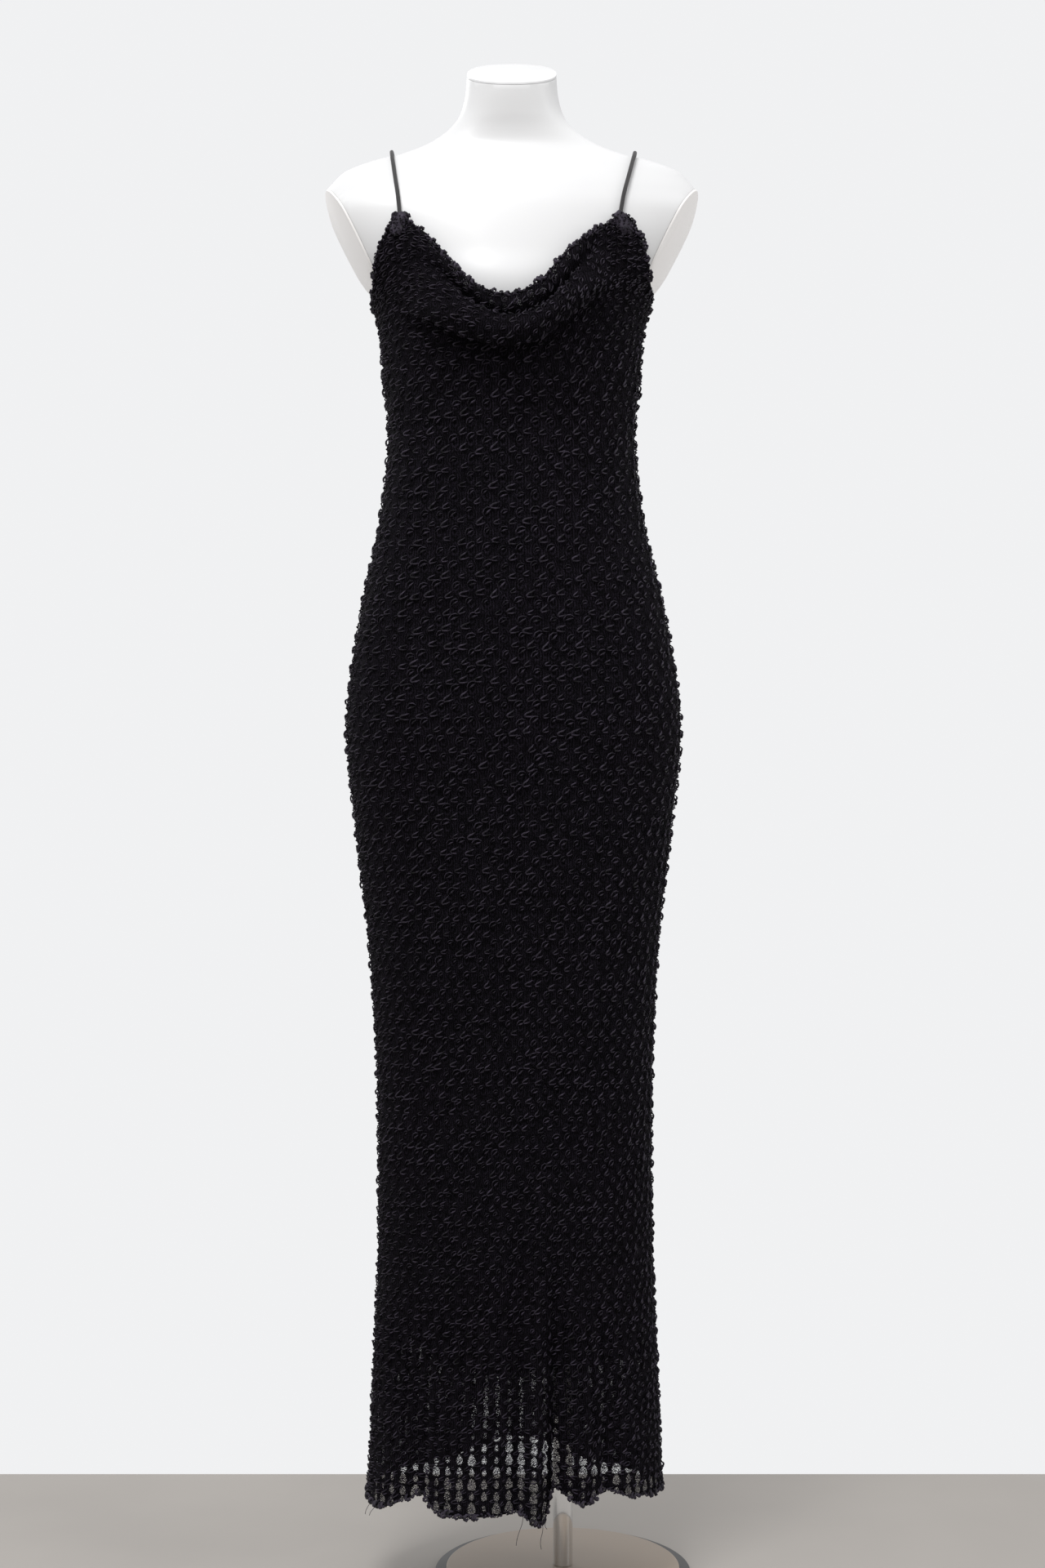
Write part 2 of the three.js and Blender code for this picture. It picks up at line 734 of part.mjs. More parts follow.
const group = new THREE.Group();
const standing = new THREE.Group();
const worn = new THREE.Group();
worn.position.set(AXIS_X, AXIS_Y, 0);
group.add(standing, worn);

function addPiece(parent, name, geometry, makeMaterial) {
  const mesh = new THREE.Mesh(geometry, makeMaterial());
  mesh.name = name;
  parent.add(mesh);
}

addPiece(standing, "base_plate", baseGeometry(), darkPlate);
addPiece(standing, "base_disc", discGeometry(), paleDisc);
addPiece(standing, "pole", poleGeometry(), chrome);
addPiece(worn, "torso", torsoGeometry(), shell);
addPiece(worn, "arm_plate_left", plateGeometry(armCut(-1)), shell);
addPiece(worn, "arm_plate_right", plateGeometry(armCut(1)), shell);
addPiece(worn, "neck_plate", plateGeometry(neckCut()), shell);
addPiece(worn, "front_panel", frontPanel(), knit);
addPiece(worn, "back_panel", backPanel(), knit);
addPiece(worn, "lining_front", liningPanel(0), jersey);
addPiece(worn, "lining_back", liningPanel(180), jersey);
addPiece(worn, "strap_left", strapGeometry(-1), cord);
addPiece(worn, "strap_right", strapGeometry(1), cord);

export default group;
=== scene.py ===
# %% [markdown]
# # A knitted slip dress on a limbless dress form
# The dress is an openwork knit with a draped cowl neck and two thin cord straps. It hangs on a smooth white
# torso form, which stands on a chrome pole and a round base. All of it is one still object, so every piece
# rides on one body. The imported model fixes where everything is. This script makes the fine surfaces.

# %% Load the fixed frame
import math
import bpy
import numpy as np
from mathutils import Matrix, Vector


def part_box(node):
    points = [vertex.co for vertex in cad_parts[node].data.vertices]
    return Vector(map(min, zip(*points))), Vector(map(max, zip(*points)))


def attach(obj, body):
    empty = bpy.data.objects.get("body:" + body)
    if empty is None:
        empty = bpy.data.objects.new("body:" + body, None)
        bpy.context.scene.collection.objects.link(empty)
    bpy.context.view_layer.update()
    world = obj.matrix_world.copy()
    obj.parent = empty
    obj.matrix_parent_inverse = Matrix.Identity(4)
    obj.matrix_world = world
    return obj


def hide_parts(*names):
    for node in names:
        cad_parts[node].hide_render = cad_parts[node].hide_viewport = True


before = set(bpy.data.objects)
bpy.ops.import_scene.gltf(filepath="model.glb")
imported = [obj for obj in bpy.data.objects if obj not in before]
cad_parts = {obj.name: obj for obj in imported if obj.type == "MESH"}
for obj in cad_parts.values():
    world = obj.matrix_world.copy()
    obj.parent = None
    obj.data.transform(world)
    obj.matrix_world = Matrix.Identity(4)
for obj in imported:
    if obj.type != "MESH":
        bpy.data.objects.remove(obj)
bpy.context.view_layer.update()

# %% [markdown]
# ## The camera
# It stands level, straight in front and a little below the middle of the object's height, far enough away
# that the sides of the dress look nearly parallel. The whole form fits the tall picture.

# %% Camera
CAMERA_PLACE = (-0.0442, -2.572, 0.865)
CAMERA_LENS = 53.76
camera = bpy.data.objects.new("camera", bpy.data.cameras.new("camera"))
bpy.context.scene.collection.objects.link(camera)
camera.location = CAMERA_PLACE
camera.rotation_euler = (math.pi / 2, 0, 0)
camera.data.lens = CAMERA_LENS
bpy.context.scene.camera = camera
print("camera at", CAMERA_PLACE)

# %% [markdown]
# ## Sizes
# Every size below is in millimetres, measured from the middle of the pole and from the floor, and is turned
# into metres when a mesh is made. The dress and the torso share an upright axis beside the pole. Each row
# of a section table is a height, half a width, the reach to the front, the reach to the back and a drift
# sideways. A smooth curve through the rows gives a section at any height.

# %% Sections of the dress and the torso
MM = 0.001
AXIS = np.array([-54.0, -16.0, 0.0])
SECTION_FULLNESS = 0.045
DRESS = [
    [60, 162, 98, 94, 1], [150, 157, 94, 90, 2], [241, 153.5, 90, 88, 2], [366, 148.5, 86, 86, 2],
    [562, 149.5, 90, 92, 1], [704, 158, 99, 106, 0], [811, 170.5, 106, 118, 0], [936, 181, 111, 129, 0],
    [1061, 163, 106, 118, -1], [1150, 143.5, 99, 101, -2], [1240, 133.5, 97, 90, -2],
    [1293, 138, 104, 90, -2], [1385, 151.5, 114, 92, -2], [1430, 196, 103, 94, -2], [1480, 228, 89, 94, -2],
]
TORSO = [
    [764, 118, 66, 76, 0], [769, 138, 80, 92, 0], [787, 156, 92, 106, 0], [811, 162.8, 98, 110, 0],
    [860, 168.4, 101, 115.4, 0], [936, 173.2, 103.4, 121.2, 0], [1061, 155.4, 98, 109.4, -1],
    [1150, 136, 91, 90, -2], [1240, 124.5, 85, 74, -2], [1293, 128, 93, 76, -2], [1385, 144, 106.5, 85, -2],
    [1430, 187, 96, 88, -2], [1480, 222, 82, 88, -2], [1503, 208, 72, 83, -2], [1518, 196, 63, 76, -2],
    [1531, 182, 54, 69, -2], [1541, 156, 48, 63, -2], [1547, 130, 45, 59, -2], [1557, 101, 42, 55, -2],
    [1571, 76, 42, 51, -2], [1587, 60, 44, 49, -2], [1608, 52, 46, 49, -2], [1635, 49, 47, 50, -2],
    [1690, 48, 48, 52, -2],
]


def along(rows, place, column=1):
    """A smooth curve through rows of numbers, the first of which is the place along it."""
    rows = np.asarray(rows, float)
    x, y = rows[:, 0], rows[:, column]
    slope = np.empty_like(y)
    slope[1:-1] = (y[2:] - y[:-2]) / (x[2:] - x[:-2])
    slope[0] = (y[1] - y[0]) / (x[1] - x[0])
    slope[-1] = (y[-1] - y[-2]) / (x[-1] - x[-2])
    place = np.clip(place, x[0], x[-1])
    i = np.clip(np.searchsorted(x, place, side="right") - 1, 0, len(x) - 2)
    span = x[i + 1] - x[i]
    s = (place - x[i]) / span
    start = (2 * s**3 - 3 * s**2 + 1) * y[i] + (s**3 - 2 * s**2 + s) * span * slope[i]
    return start + (3 * s**2 - 2 * s**3) * y[i + 1] + (s**3 - s**2) * span * slope[i + 1]


def ease(start, end, value):
    """0 at start, 1 at end, and smooth between them."""
    s = np.clip((value - start) / (end - start), 0, 1)
    return s * s * (3 - 2 * s)


def section(rows, height, angle, outward=0.0):
    """Points of a section: angle 0 is the middle of the front, 90 the right side and 180 the back."""
    height, angle = np.broadcast_arrays(np.asarray(height, float), np.asarray(angle, float))
    t = np.radians(angle)
    half = along(rows, height, 1)
    depth = np.where(np.cos(t) > 0, along(rows, height, 2), along(rows, height, 3))
    full = 1 + SECTION_FULLNESS * np.sin(2 * t) ** 2
    out_x, out_y = np.sin(t) / half, -np.cos(t) / depth
    length = np.hypot(out_x, out_y)
    x = along(rows, height, 4) + half * np.sin(t) * full + out_x / length * outward
    y = -depth * np.cos(t) * full + out_y / length * outward
    return np.stack([x, y, height], axis=-1)


def unit(vectors):
    return vectors / np.maximum(np.linalg.norm(vectors, axis=-1, keepdims=True), 1e-12)


hip = section(DRESS, 936, np.array([-90, 0, 90, 180]))
print("hip half widths and reaches:", np.round(np.abs(hip[:, :2]).max(axis=1), 1))

# %% [markdown]
# ## Making a mesh from points
# Cloth and yarn follow formulas, so their points are worked out first and then turned into faces. One helper
# takes the points in millimetres and puts the mesh where it belongs, with the object itself at the origin.

# %% Mesh helpers
made = {}


def add_piece(name, points, face_groups, material, replaces=(), slot=None):
    """A smooth mesh from points in millimetres and arrays of faces, each with its own corner count."""
    mesh = bpy.data.meshes.new(name)
    points = np.asarray(points, float).reshape(-1, 3)
    mesh.vertices.add(len(points))
    mesh.vertices.foreach_set("co", (points * MM).astype(np.float32).ravel())
    corners = np.concatenate([np.asarray(g).ravel() for g in face_groups]).astype(np.int32)
    counts = np.concatenate([np.full(len(g), np.shape(g)[1]) for g in face_groups])
    mesh.loops.add(len(corners))
    mesh.loops.foreach_set("vertex_index", corners)
    mesh.polygons.add(len(counts))
    mesh.polygons.foreach_set("loop_start", np.concatenate([[0], np.cumsum(counts)[:-1]]).astype(np.int32))
    mesh.polygons.foreach_set("use_smooth", np.full(len(counts), True))
    mesh.update(calc_edges=True)
    piece = bpy.data.objects.new(name, mesh)
    bpy.context.scene.collection.objects.link(piece)
    return finish_piece(piece, material, replaces)


def finish_piece(piece, material, replaces=()):
    """Gives a piece its finish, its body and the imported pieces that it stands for."""
    piece.data.materials.clear()
    piece.data.materials.append(material)
    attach(piece, "root")
    if replaces:
        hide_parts(*replaces)
    made[piece.name] = piece
    return piece


def only(piece):
    """Selects one object and nothing else, so that an operator acts on it alone."""
    bpy.ops.object.select_all(action="DESELECT")
    piece.select_set(True)
    bpy.context.view_layer.objects.active = piece


def apply_modifier(piece, kind, **settings):
    """Adds a modifier with its settings and applies it at once."""
    only(piece)
    modifier = piece.modifiers.new(kind.lower(), kind)
    for key, value in settings.items():
        setattr(modifier, key, value)
    bpy.ops.object.modifier_apply(modifier=modifier.name)


def triangles(piece):
    piece.data.calc_loop_triangles()
    return len(piece.data.loop_triangles)


def grid_faces(rows, columns):
    """Four-cornered faces of a grid of points, row by row."""
    corner = np.arange(rows * columns).reshape(rows, columns)[:-1, :-1]
    return np.stack([corner, corner + 1, corner + columns + 1, corner + columns], axis=-1).reshape(-1, 4)


def set_map(piece, name, places):
    """A flat map of a piece, from one place for every corner of its faces."""
    layer = piece.data.uv_layers.new(name=name)
    layer.data.foreach_set("uv", places.astype(np.float32).ravel())


def thicken(cloth, thickness, **settings):
    """Makes a sheet of faces into a smooth shell, on its inner side."""
    apply_modifier(cloth, "SOLIDIFY", thickness=thickness, offset=-1, **settings)
    cloth.data.polygons.foreach_set("use_smooth", np.full(len(cloth.data.polygons), True))
    print(cloth.name, triangles(cloth), "triangles")


print("helpers ready")

# %% [markdown]
# ## Finishes
# Each finish is a node material that reads the object's own coordinates, or the cloth's own map. Two effects
# are used by several finishes, so they are node groups: one is the fine uneven surface of moulded or painted
# parts, the other the twisted strands of yarn. The shaders stay in the materials themselves.

# %% Helpers for node materials
def add_node(tree, kind, values=None, **settings):
    """A node with its settings, and with its inputs set to values or linked from sockets."""
    node = tree.nodes.new(kind)
    for key, value in settings.items():
        setattr(node, key, value)
    for key, value in (values or {}).items():
        if isinstance(value, bpy.types.NodeSocket):
            tree.links.new(value, node.inputs[key])
        else:
            node.inputs[key].default_value = value
    return node


def maths(tree, operation, *values, clamp=False):
    """The result of a Math node on numbers and sockets."""
    inputs = dict(enumerate(values))
    return add_node(tree, "ShaderNodeMath", inputs, operation=operation, use_clamp=clamp).outputs[0]


def new_group(name, inputs, outputs):
    """A node group with named number inputs and outputs, and its two end nodes."""
    tree = bpy.data.node_groups.new(name, "ShaderNodeTree")
    for label, start in inputs:
        socket = tree.interface.new_socket(label, in_out="INPUT", socket_type="NodeSocketFloat")
        socket.default_value = start
    for label in outputs:
        tree.interface.new_socket(label, in_out="OUTPUT", socket_type="NodeSocketFloat")
    return tree, tree.nodes.new("NodeGroupInput").outputs, tree.nodes.new("NodeGroupOutput").inputs


def new_finish(name, **constants):
    """A material with one Principled shader whose plain values are set on its own sockets."""
    material = bpy.data.materials.new(name)
    material.use_nodes = True
    tree = material.node_tree
    shader = tree.nodes["Principled BSDF"]
    for key, value in constants.items():
        shader.inputs[key.replace("_", " ").title()].default_value = value
    return material, tree, shader


def blend_colours(tree, share, dark, light):
    """A colour between two, by a share from 0 to 1."""
    ramp = add_node(tree, "ShaderNodeValToRGB", {"Fac": share})
    ramp.color_ramp.elements[0].color = (*dark, 1)
    ramp.color_ramp.elements[1].color = (*light, 1)
    return ramp.outputs["Color"]


def spread(tree, value, start=(0.0, 1.0), end=(0.0, 1.0)):
    """A value moved from one span of numbers to another, and kept inside it."""
    values = {"Value": value, "From Min": start[0], "From Max": start[1], "To Min": end[0], "To Max": end[1]}
    return add_node(tree, "ShaderNodeMapRange", values).outputs["Result"]


def noise(tree, place, scale, detail=2.0):
    values = {"Vector": place, "Scale": scale, "Detail": detail}
    return add_node(tree, "ShaderNodeTexNoise", values).outputs["Fac"]


def add_bump(tree, shader, height, distance):
    bump = add_node(tree, "ShaderNodeBump", {"Height": height, "Distance": distance})
    tree.links.new(bump.outputs["Normal"], shader.inputs["Normal"])


print("finishes can be made")

# %% Shared effects
def make_grain():
    """Fine unevenness: a slow tone for colour and gloss, and a fine height for bump."""
    tree, inputs, outputs = new_group("moulded grain", [("Scale", 40.0)], ["Tone", "Height"])
    place = add_node(tree, "ShaderNodeTexCoord").outputs["Object"]
    finer = maths(tree, "MULTIPLY", inputs["Scale"], 22.0)
    tree.links.new(noise(tree, place, inputs["Scale"], 3.0), outputs["Tone"])
    tree.links.new(noise(tree, place, finer), outputs["Height"])
    return tree


def make_strands():
    """Strands of yarn: fine fibres, with a tone that changes every few millimetres."""
    tree, inputs, outputs = new_group("yarn strands", [("Scale", 1.0)], ["Tone", "Height"])
    place = add_node(tree, "ShaderNodeTexCoord").outputs["Object"]
    slow = noise(tree, place, maths(tree, "MULTIPLY", inputs["Scale"], 160.0), 4.0)
    fine = noise(tree, place, maths(tree, "MULTIPLY", inputs["Scale"], 1400.0), 3.0)
    tree.links.new(spread(tree, slow, (0.34, 0.66)), outputs["Tone"])
    tree.links.new(fine, outputs["Height"])
    return tree


GRAIN = make_grain()
STRANDS = make_strands()


def use_group(tree, group, scale):
    node = add_node(tree, "ShaderNodeGroup", node_tree=group)
    node.inputs["Scale"].default_value = scale
    return node.outputs


print("groups:", GRAIN.name, "and", STRANDS.name)

# %% [markdown]
# ### Moulded white, pale paint, dark plate and chrome
# The torso is a glossy moulded shell, so it gets a clear gloss with a very slight waviness. The cut plates
# at the arms are a warmer grey board. The base is a painted disc over a dark plate, and the pole is chrome
# with faint polishing marks round it.

# %% Finishes of the form and the stand
def make_smooth_finish(name, dark, light, rough, grain_scale, bump_depth, **constants):
    """A hard, smooth finish: its tone and its gloss vary a little over the surface."""
    material, tree, shader = new_finish(name, **constants)
    grain = use_group(tree, GRAIN, grain_scale)
    tree.links.new(blend_colours(tree, grain["Tone"], dark, light), shader.inputs["Base Color"])
    tree.links.new(spread(tree, grain["Tone"], end=rough), shader.inputs["Roughness"])
    add_bump(tree, shader, grain["Height"], bump_depth)
    return material


form_finish = make_smooth_finish("moulded white shell", (0.6, 0.6, 0.605), (0.64, 0.64, 0.64), (0.4, 0.5),
                                 9.0, 0.00002, coat_weight=0.12, coat_roughness=0.15)
plate_finish = make_smooth_finish("warm grey board", (0.79, 0.77, 0.755), (0.84, 0.82, 0.805), (0.45, 0.6),
                                  14.0, 0.00004)
disc_finish = make_smooth_finish("pale painted disc", (0.21, 0.16, 0.115), (0.25, 0.195, 0.145), (0.4, 0.5),
                                 12.0, 0.00003, coat_weight=0.05, coat_roughness=0.25)
base_finish = make_smooth_finish("dark base plate", (0.012, 0.012, 0.013), (0.03, 0.028, 0.027), (0.4, 0.55),
                                 20.0, 0.00004)


def make_chrome():
    """Polished chrome: fine rings left by polishing change the gloss a little."""
    material, tree, shader = new_finish("polished chrome", metallic=1.0)
    place = add_node(tree, "ShaderNodeTexCoord").outputs["Object"]
    squeezed = add_node(tree, "ShaderNodeMapping", {"Vector": place, "Scale": (6.0, 6.0, 900.0)})
    marks = noise(tree, squeezed.outputs["Vector"], 1.0)
    colour = blend_colours(tree, marks, (0.80, 0.81, 0.82), (0.92, 0.93, 0.94))
    tree.links.new(colour, shader.inputs["Base Color"])
    tree.links.new(spread(tree, marks, end=(0.04, 0.10)), shader.inputs["Roughness"])
    return material


chrome_finish = make_chrome()
print("hard finishes made")

# %% [markdown]
# ### The stand: two discs and a pole
# A turned disc could be spun from a profile. A cylinder with a rounded rim is the same shape with less work,
# so each disc is a cylinder whose rims are bevelled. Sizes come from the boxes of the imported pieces.

# %% Base plate, disc and pole
def add_round_bar(node, material, rim, sides):
    """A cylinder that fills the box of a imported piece, with rounded rims."""
    low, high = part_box(node)
    bpy.ops.object.select_all(action="DESELECT")
    bpy.ops.mesh.primitive_cylinder_add(vertices=sides, radius=(high.x - low.x) / 2, depth=high.z - low.z,
                                        location=(low + high) / 2)
    piece = bpy.context.active_object
    piece.name = node + "_fine"
    bpy.ops.object.transform_apply(location=True)
    apply_modifier(piece, "BEVEL", width=rim, segments=4, limit_method="ANGLE", angle_limit=math.radians(60))
    bpy.ops.object.shade_smooth_by_angle(angle=math.radians(40))
    finish_piece(piece, material, [node])
    print(piece.name, triangles(piece), "triangles")


DISC_SIDES, POLE_SIDES = 160, 64
add_round_bar("base_plate", base_finish, 0.0012, DISC_SIDES)
add_round_bar("base_disc", disc_finish, 0.0022, DISC_SIDES)
add_round_bar("pole", chrome_finish, 0.0004, POLE_SIDES)

# %% [markdown]
# ### The torso
# A display torso is one moulded shell, cut flat at the arms and the neck. It is a tube of many rings here,
# each ring a section of the torso. The cuts are made with three large blocks by Boolean, because the flat
# of an arm stops at the armpit, and the new edges are softened with a narrow bevel. A cylinder cuts the
# socket for the pole in the same way.

# %% Torso from rings
TORSO_SIDES = 104
TORSO_RINGS = 170


def tube_faces(rings, sides):
    """Faces of a closed tube of rings, and the caps at its two ends."""
    first = np.arange((rings - 1) * sides).reshape(rings - 1, sides)
    after = np.roll(first, -1, axis=1)
    walls = np.stack([first, after, after + sides, first + sides], axis=-1).reshape(-1, 4)
    start = np.arange(sides)[::-1][None]
    end = np.arange((rings - 1) * sides, rings * sides)[None]
    return [walls, start, end]


def torso_heights():
    """Ring heights: close together where the shoulders and the flat underside turn quickly."""
    places = [[764, 0], [790, 0.1], [860, 0.17], [1400, 0.52], [1500, 0.62], [1610, 0.93], [1690, 1]]
    heights = np.array(places)[:, 0]
    return np.interp(np.linspace(0, 1, TORSO_RINGS), np.array(places)[:, 1], heights)


def add_whole_torso(name, material):
    angles = np.arange(TORSO_SIDES) * 360 / TORSO_SIDES
    rings = section(TORSO, torso_heights()[:, None], angles[None, :])
    return add_piece(name, rings + AXIS, tube_faces(TORSO_RINGS, TORSO_SIDES), material)


torso = add_whole_torso("torso_fine", form_finish)
print("torso:", triangles(torso), "triangles before the cuts")

# %% Cutting the torso and its plates
ARM_CUT = {"reach": 199, "height": 1505, "lean": 25, "turn": 9, "above": 1400}
NECK_CUT = {"height": 1638, "lean": 27, "above": 1505}
TOUCH_GAP = 0.3
PLATE_THICKNESS = 2.0
CUT_BEVEL, PLATE_BEVEL = 0.0012, 0.0005
PLATE_LIFT = 1  # a plate ends this much higher than its cut
BLOCK_THICKNESS = 300
SOCKET_RADIUS, SOCKET_DEPTH, SOCKET_DROP = 0.0113, 0.12, 0.0595
SHARP = math.radians(38)


def arm_cut(side):
    """The point and the outward direction of an arm's flat cut, and the height where it stops."""
    lean, turn = math.radians(ARM_CUT["lean"]), math.radians(ARM_CUT["turn"])
    outward = unit(np.array([side * math.cos(lean), -math.sin(turn), -math.sin(lean)]))
    drift = float(along(TORSO, ARM_CUT["height"], 4))
    return np.array([side * ARM_CUT["reach"] + drift, 0, ARM_CUT["height"]]), outward, ARM_CUT["above"]


def neck_cut():
    lean = math.radians(NECK_CUT["lean"])
    outward = np.array([0, -math.sin(lean), math.cos(lean)])
    return np.array([0, 0, NECK_CUT["height"]]), outward, NECK_CUT["above"]


def add_block(cut, start, thickness):
    """A block that begins at a distance outside a cut, and lies above the height where the cut stops."""
    point, outward, above = cut
    centre = (point + AXIS + outward * (start + thickness / 2)) * MM
    bpy.ops.object.select_all(action="DESELECT")
    bpy.ops.mesh.primitive_cube_add(size=1, location=centre)
    block = bpy.context.active_object
    block.scale = (0.5, 0.5, thickness * MM)
    block.rotation_euler = Vector(outward).to_track_quat("Z", "Y").to_euler()
    bpy.ops.object.transform_apply(location=True, rotation=True, scale=True)
    bpy.ops.object.mode_set(mode="EDIT")
    bpy.ops.mesh.select_all(action="SELECT")
    bpy.ops.mesh.bisect(plane_co=(0, 0, above * MM), plane_no=(0, 0, 1), use_fill=True, clear_inner=True)
    bpy.ops.object.mode_set(mode="OBJECT")
    return block


def combine(piece, block, operation):
    apply_modifier(piece, "BOOLEAN", object=block, operation=operation, solver="EXACT")
    bpy.data.objects.remove(block)


def soften(piece, width):
    apply_modifier(piece, "BEVEL", width=width, segments=2, limit_method="ANGLE", angle_limit=SHARP)
    only(piece)
    bpy.ops.object.shade_smooth_by_angle(angle=SHARP)


CUTS = {"arm_plate_left": arm_cut(-1), "arm_plate_right": arm_cut(1), "neck_plate": neck_cut()}
for node, cut in CUTS.items():
    material = plate_finish if node.startswith("arm") else form_finish
    plate = add_whole_torso(node + "_fine", material)
    shifted = (cut[0], cut[1], cut[2] + PLATE_LIFT)
    combine(plate, add_block(shifted, TOUCH_GAP, PLATE_THICKNESS), "INTERSECT")
    soften(plate, PLATE_BEVEL)
    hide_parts(node)
    combine(torso, add_block(cut, 0, BLOCK_THICKNESS), "DIFFERENCE")
    print(plate.name, triangles(plate), "triangles")

bpy.ops.object.select_all(action="DESELECT")
socket_middle = (0, 0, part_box("pole")[1].z - SOCKET_DROP)
bpy.ops.mesh.primitive_cylinder_add(vertices=POLE_SIDES, radius=SOCKET_RADIUS, depth=SOCKET_DEPTH,
                                    location=socket_middle)
socket = bpy.context.active_object
bpy.ops.object.transform_apply(location=True)
combine(torso, socket, "DIFFERENCE")
soften(torso, CUT_BEVEL)
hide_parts("torso")
print("torso:", triangles(torso), "triangles")

# %% [markdown]
# ## The knit panels
# The cloth could be settled by a simulation, but a stretchy knit on a form takes the form's shape, and its
# few folds are known. So each panel is a grid of points on the dress's sections, with soft troughs and
# ridges for the folds of the skirt, the cowl's own lines across the chest, and faint creases at the hips.

# %% Folds and edges of the dress
FRONT_HEM = [
    [-165, 98], [-135, 94], [-108, 108], [-98, 112], [-84, 99], [-50, 94], [-10, 97], [6, 99], [22, 88],
    [34, 93], [42, 120], [56, 113], [72, 106], [92, 118], [114, 110], [165, 100],
]
BACK_HEM = [
    [-165, 98], [-120, 100], [-80, 108], [-30, 122], [5, 132], [35, 124], [85, 107], [125, 100], [165, 100],
]
HEM_REACH = 160
LOWEST_LEVEL, LEVEL_ABOVE, WAIST_LEVEL = 98, 320, 1240
# Folds: place across, half width, depth at the hem (a trough is negative), height where it starts.
FRONT_FOLDS = [
    [-136, 20, 5, 330], [-100, 11, -8, 300], [-58, 34, 3, 420], [1, 12, -9, 540], [22, 13, 9, 470],
    [42, 11, -22, 460], [72, 18, 6, 400], [95, 10, -6, 300], [120, 16, 5, 320],
]
BACK_FOLDS = [
    [-112, 18, 5, 330], [-70, 14, -9, 400], [-30, 20, 6, 430], [6, 14, -11, 520], [40, 18, 6, 420],
    [76, 13, -8, 380], [115, 18, 5, 320],
]
# Soft creases: from (place, height) to (place, height), half width and depth.
FRONT_CREASES = [
    [(-150, 905), (-30, 812), 13, -1.6], [(148, 915), (34, 826), 13, -1.5],
    [(-138, 1010), (-52, 952), 12, -1.1], [(132, 1018), (60, 962), 12, -1.0],
    [(-118, 1168), (-36, 1142), 10, -1.2], [(116, 1176), (30, 1150), 10, -1.1],
    [(-20, 700), (2, 545), 12, -1.6], [(30, 640), (40, 465), 11, -1.8],
    [(-96, 1345), (-58, 1290), 9, -1.3], [(98, 1360), (64, 1296), 9, -1.3],
]
BACK_CREASES = [
    [(-150, 890), (-24, 800), 14, -1.8], [(150, 886), (26, 796), 14, -1.8],
    [(-110, 1150), (-10, 1128), 10, -1.5], [(112, 1146), (12, 1126), 10, -1.5],
    [(-70, 1182), (70, 1176), 9, -1.2], [(-86, 700), (-72, 420), 14, -1.6], [(10, 680), (8, 520), 13, -1.8],
]
FOLD_RUNOUT, CALM_DEGREES, SEAM_GAP = 40, 22, 0.4


def fold_depth(folds, place, height, hem):
    total = 0
    for middle, half_width, depth, start in folds:
        grown = depth * ease(start, hem - FOLD_RUNOUT, height)
        total = total + grown * np.exp(-((place - middle) / half_width) ** 2)
    return total


def crease_depth(creases, place, height):
    """Soft troughs along straight lines, which fade out towards their two ends."""
    total = 0
    for start, end, half_width, depth in creases:
        run = np.subtract(end, start)
        across, up = place - start[0], height - start[1]
        share = np.clip((across * run[0] + up * run[1]) / (run @ run), 0, 1)
        away = np.hypot(across - share * run[0], up - share * run[1])
        total = total + depth * np.exp(-((away / half_width) ** 2)) * np.sin(np.pi * (0.08 + 0.84 * share))
    return total


def seam_angle(angle, depth, middle):
    """Keeps the outer columns half a seam gap away from the side seam."""
    trim = np.degrees(SEAM_GAP / 2 / depth)
    return middle + np.clip(angle - middle, -90 + trim, 90 - trim)


def panel_point(angle, middle, height, folds, hem, creases=(), outward=0.0):
    side = 1 if middle == 0 else -1
    angle = seam_angle(angle, along(DRESS, height, 2 if middle == 0 else 3), middle)
    place = section(DRESS, height, angle)[..., 0] - along(DRESS, height, 4)
    calm = ease(0, CALM_DEGREES, 90 - np.abs(angle - middle))
    depth = calm * (fold_depth(folds, place, height, hem) + crease_depth(creases, place * side, height))
    return section(DRESS, height, angle, depth + outward)


def panel_angles(middle, count):
    """Angles of the columns, evenly spaced along the hip from one side seam to the other."""
    fine = np.linspace(-90, 90, 361)
    line = section(DRESS, 936, middle + fine)
    length = np.concatenate([[0], np.cumsum(np.linalg.norm(np.diff(line, axis=0), axis=1))])
    return middle + np.interp(np.linspace(0, length[-1], count + 1), length, fine)


def body_rows(angles, middle, hem_line, folds, creases, count):
    """Rows from the hem to the waist: the lowest follow the hem and the others lie level."""
    side = 1 if middle == 0 else -1
    level = np.linspace(LOWEST_LEVEL, WAIST_LEVEL, count + 1)[:, None]
    hem = along(hem_line, side * HEM_REACH * np.sin(np.radians(angles - middle)))[None, :]
    share = np.clip((LEVEL_ABOVE - level) / (LEVEL_ABOVE - LOWEST_LEVEL), 0, 1)
    height = level + (hem - LOWEST_LEVEL) * share**2
    return panel_point(angles[None, :] + 0 * height, middle, height, folds, hem, creases)


print(len(FRONT_FOLDS), "front folds,", len(BACK_FOLDS), "back folds")

# %% [markdown]
# ### The cowl
# The loose cloth at the neck falls forward in a roll. Lines cross the chest from armhole to armhole, each
# with its distance off the chest, and the cloth is a smooth curve through them. It works in angle, height
# and distance, so the cloth can't cut into the chest between two lines.

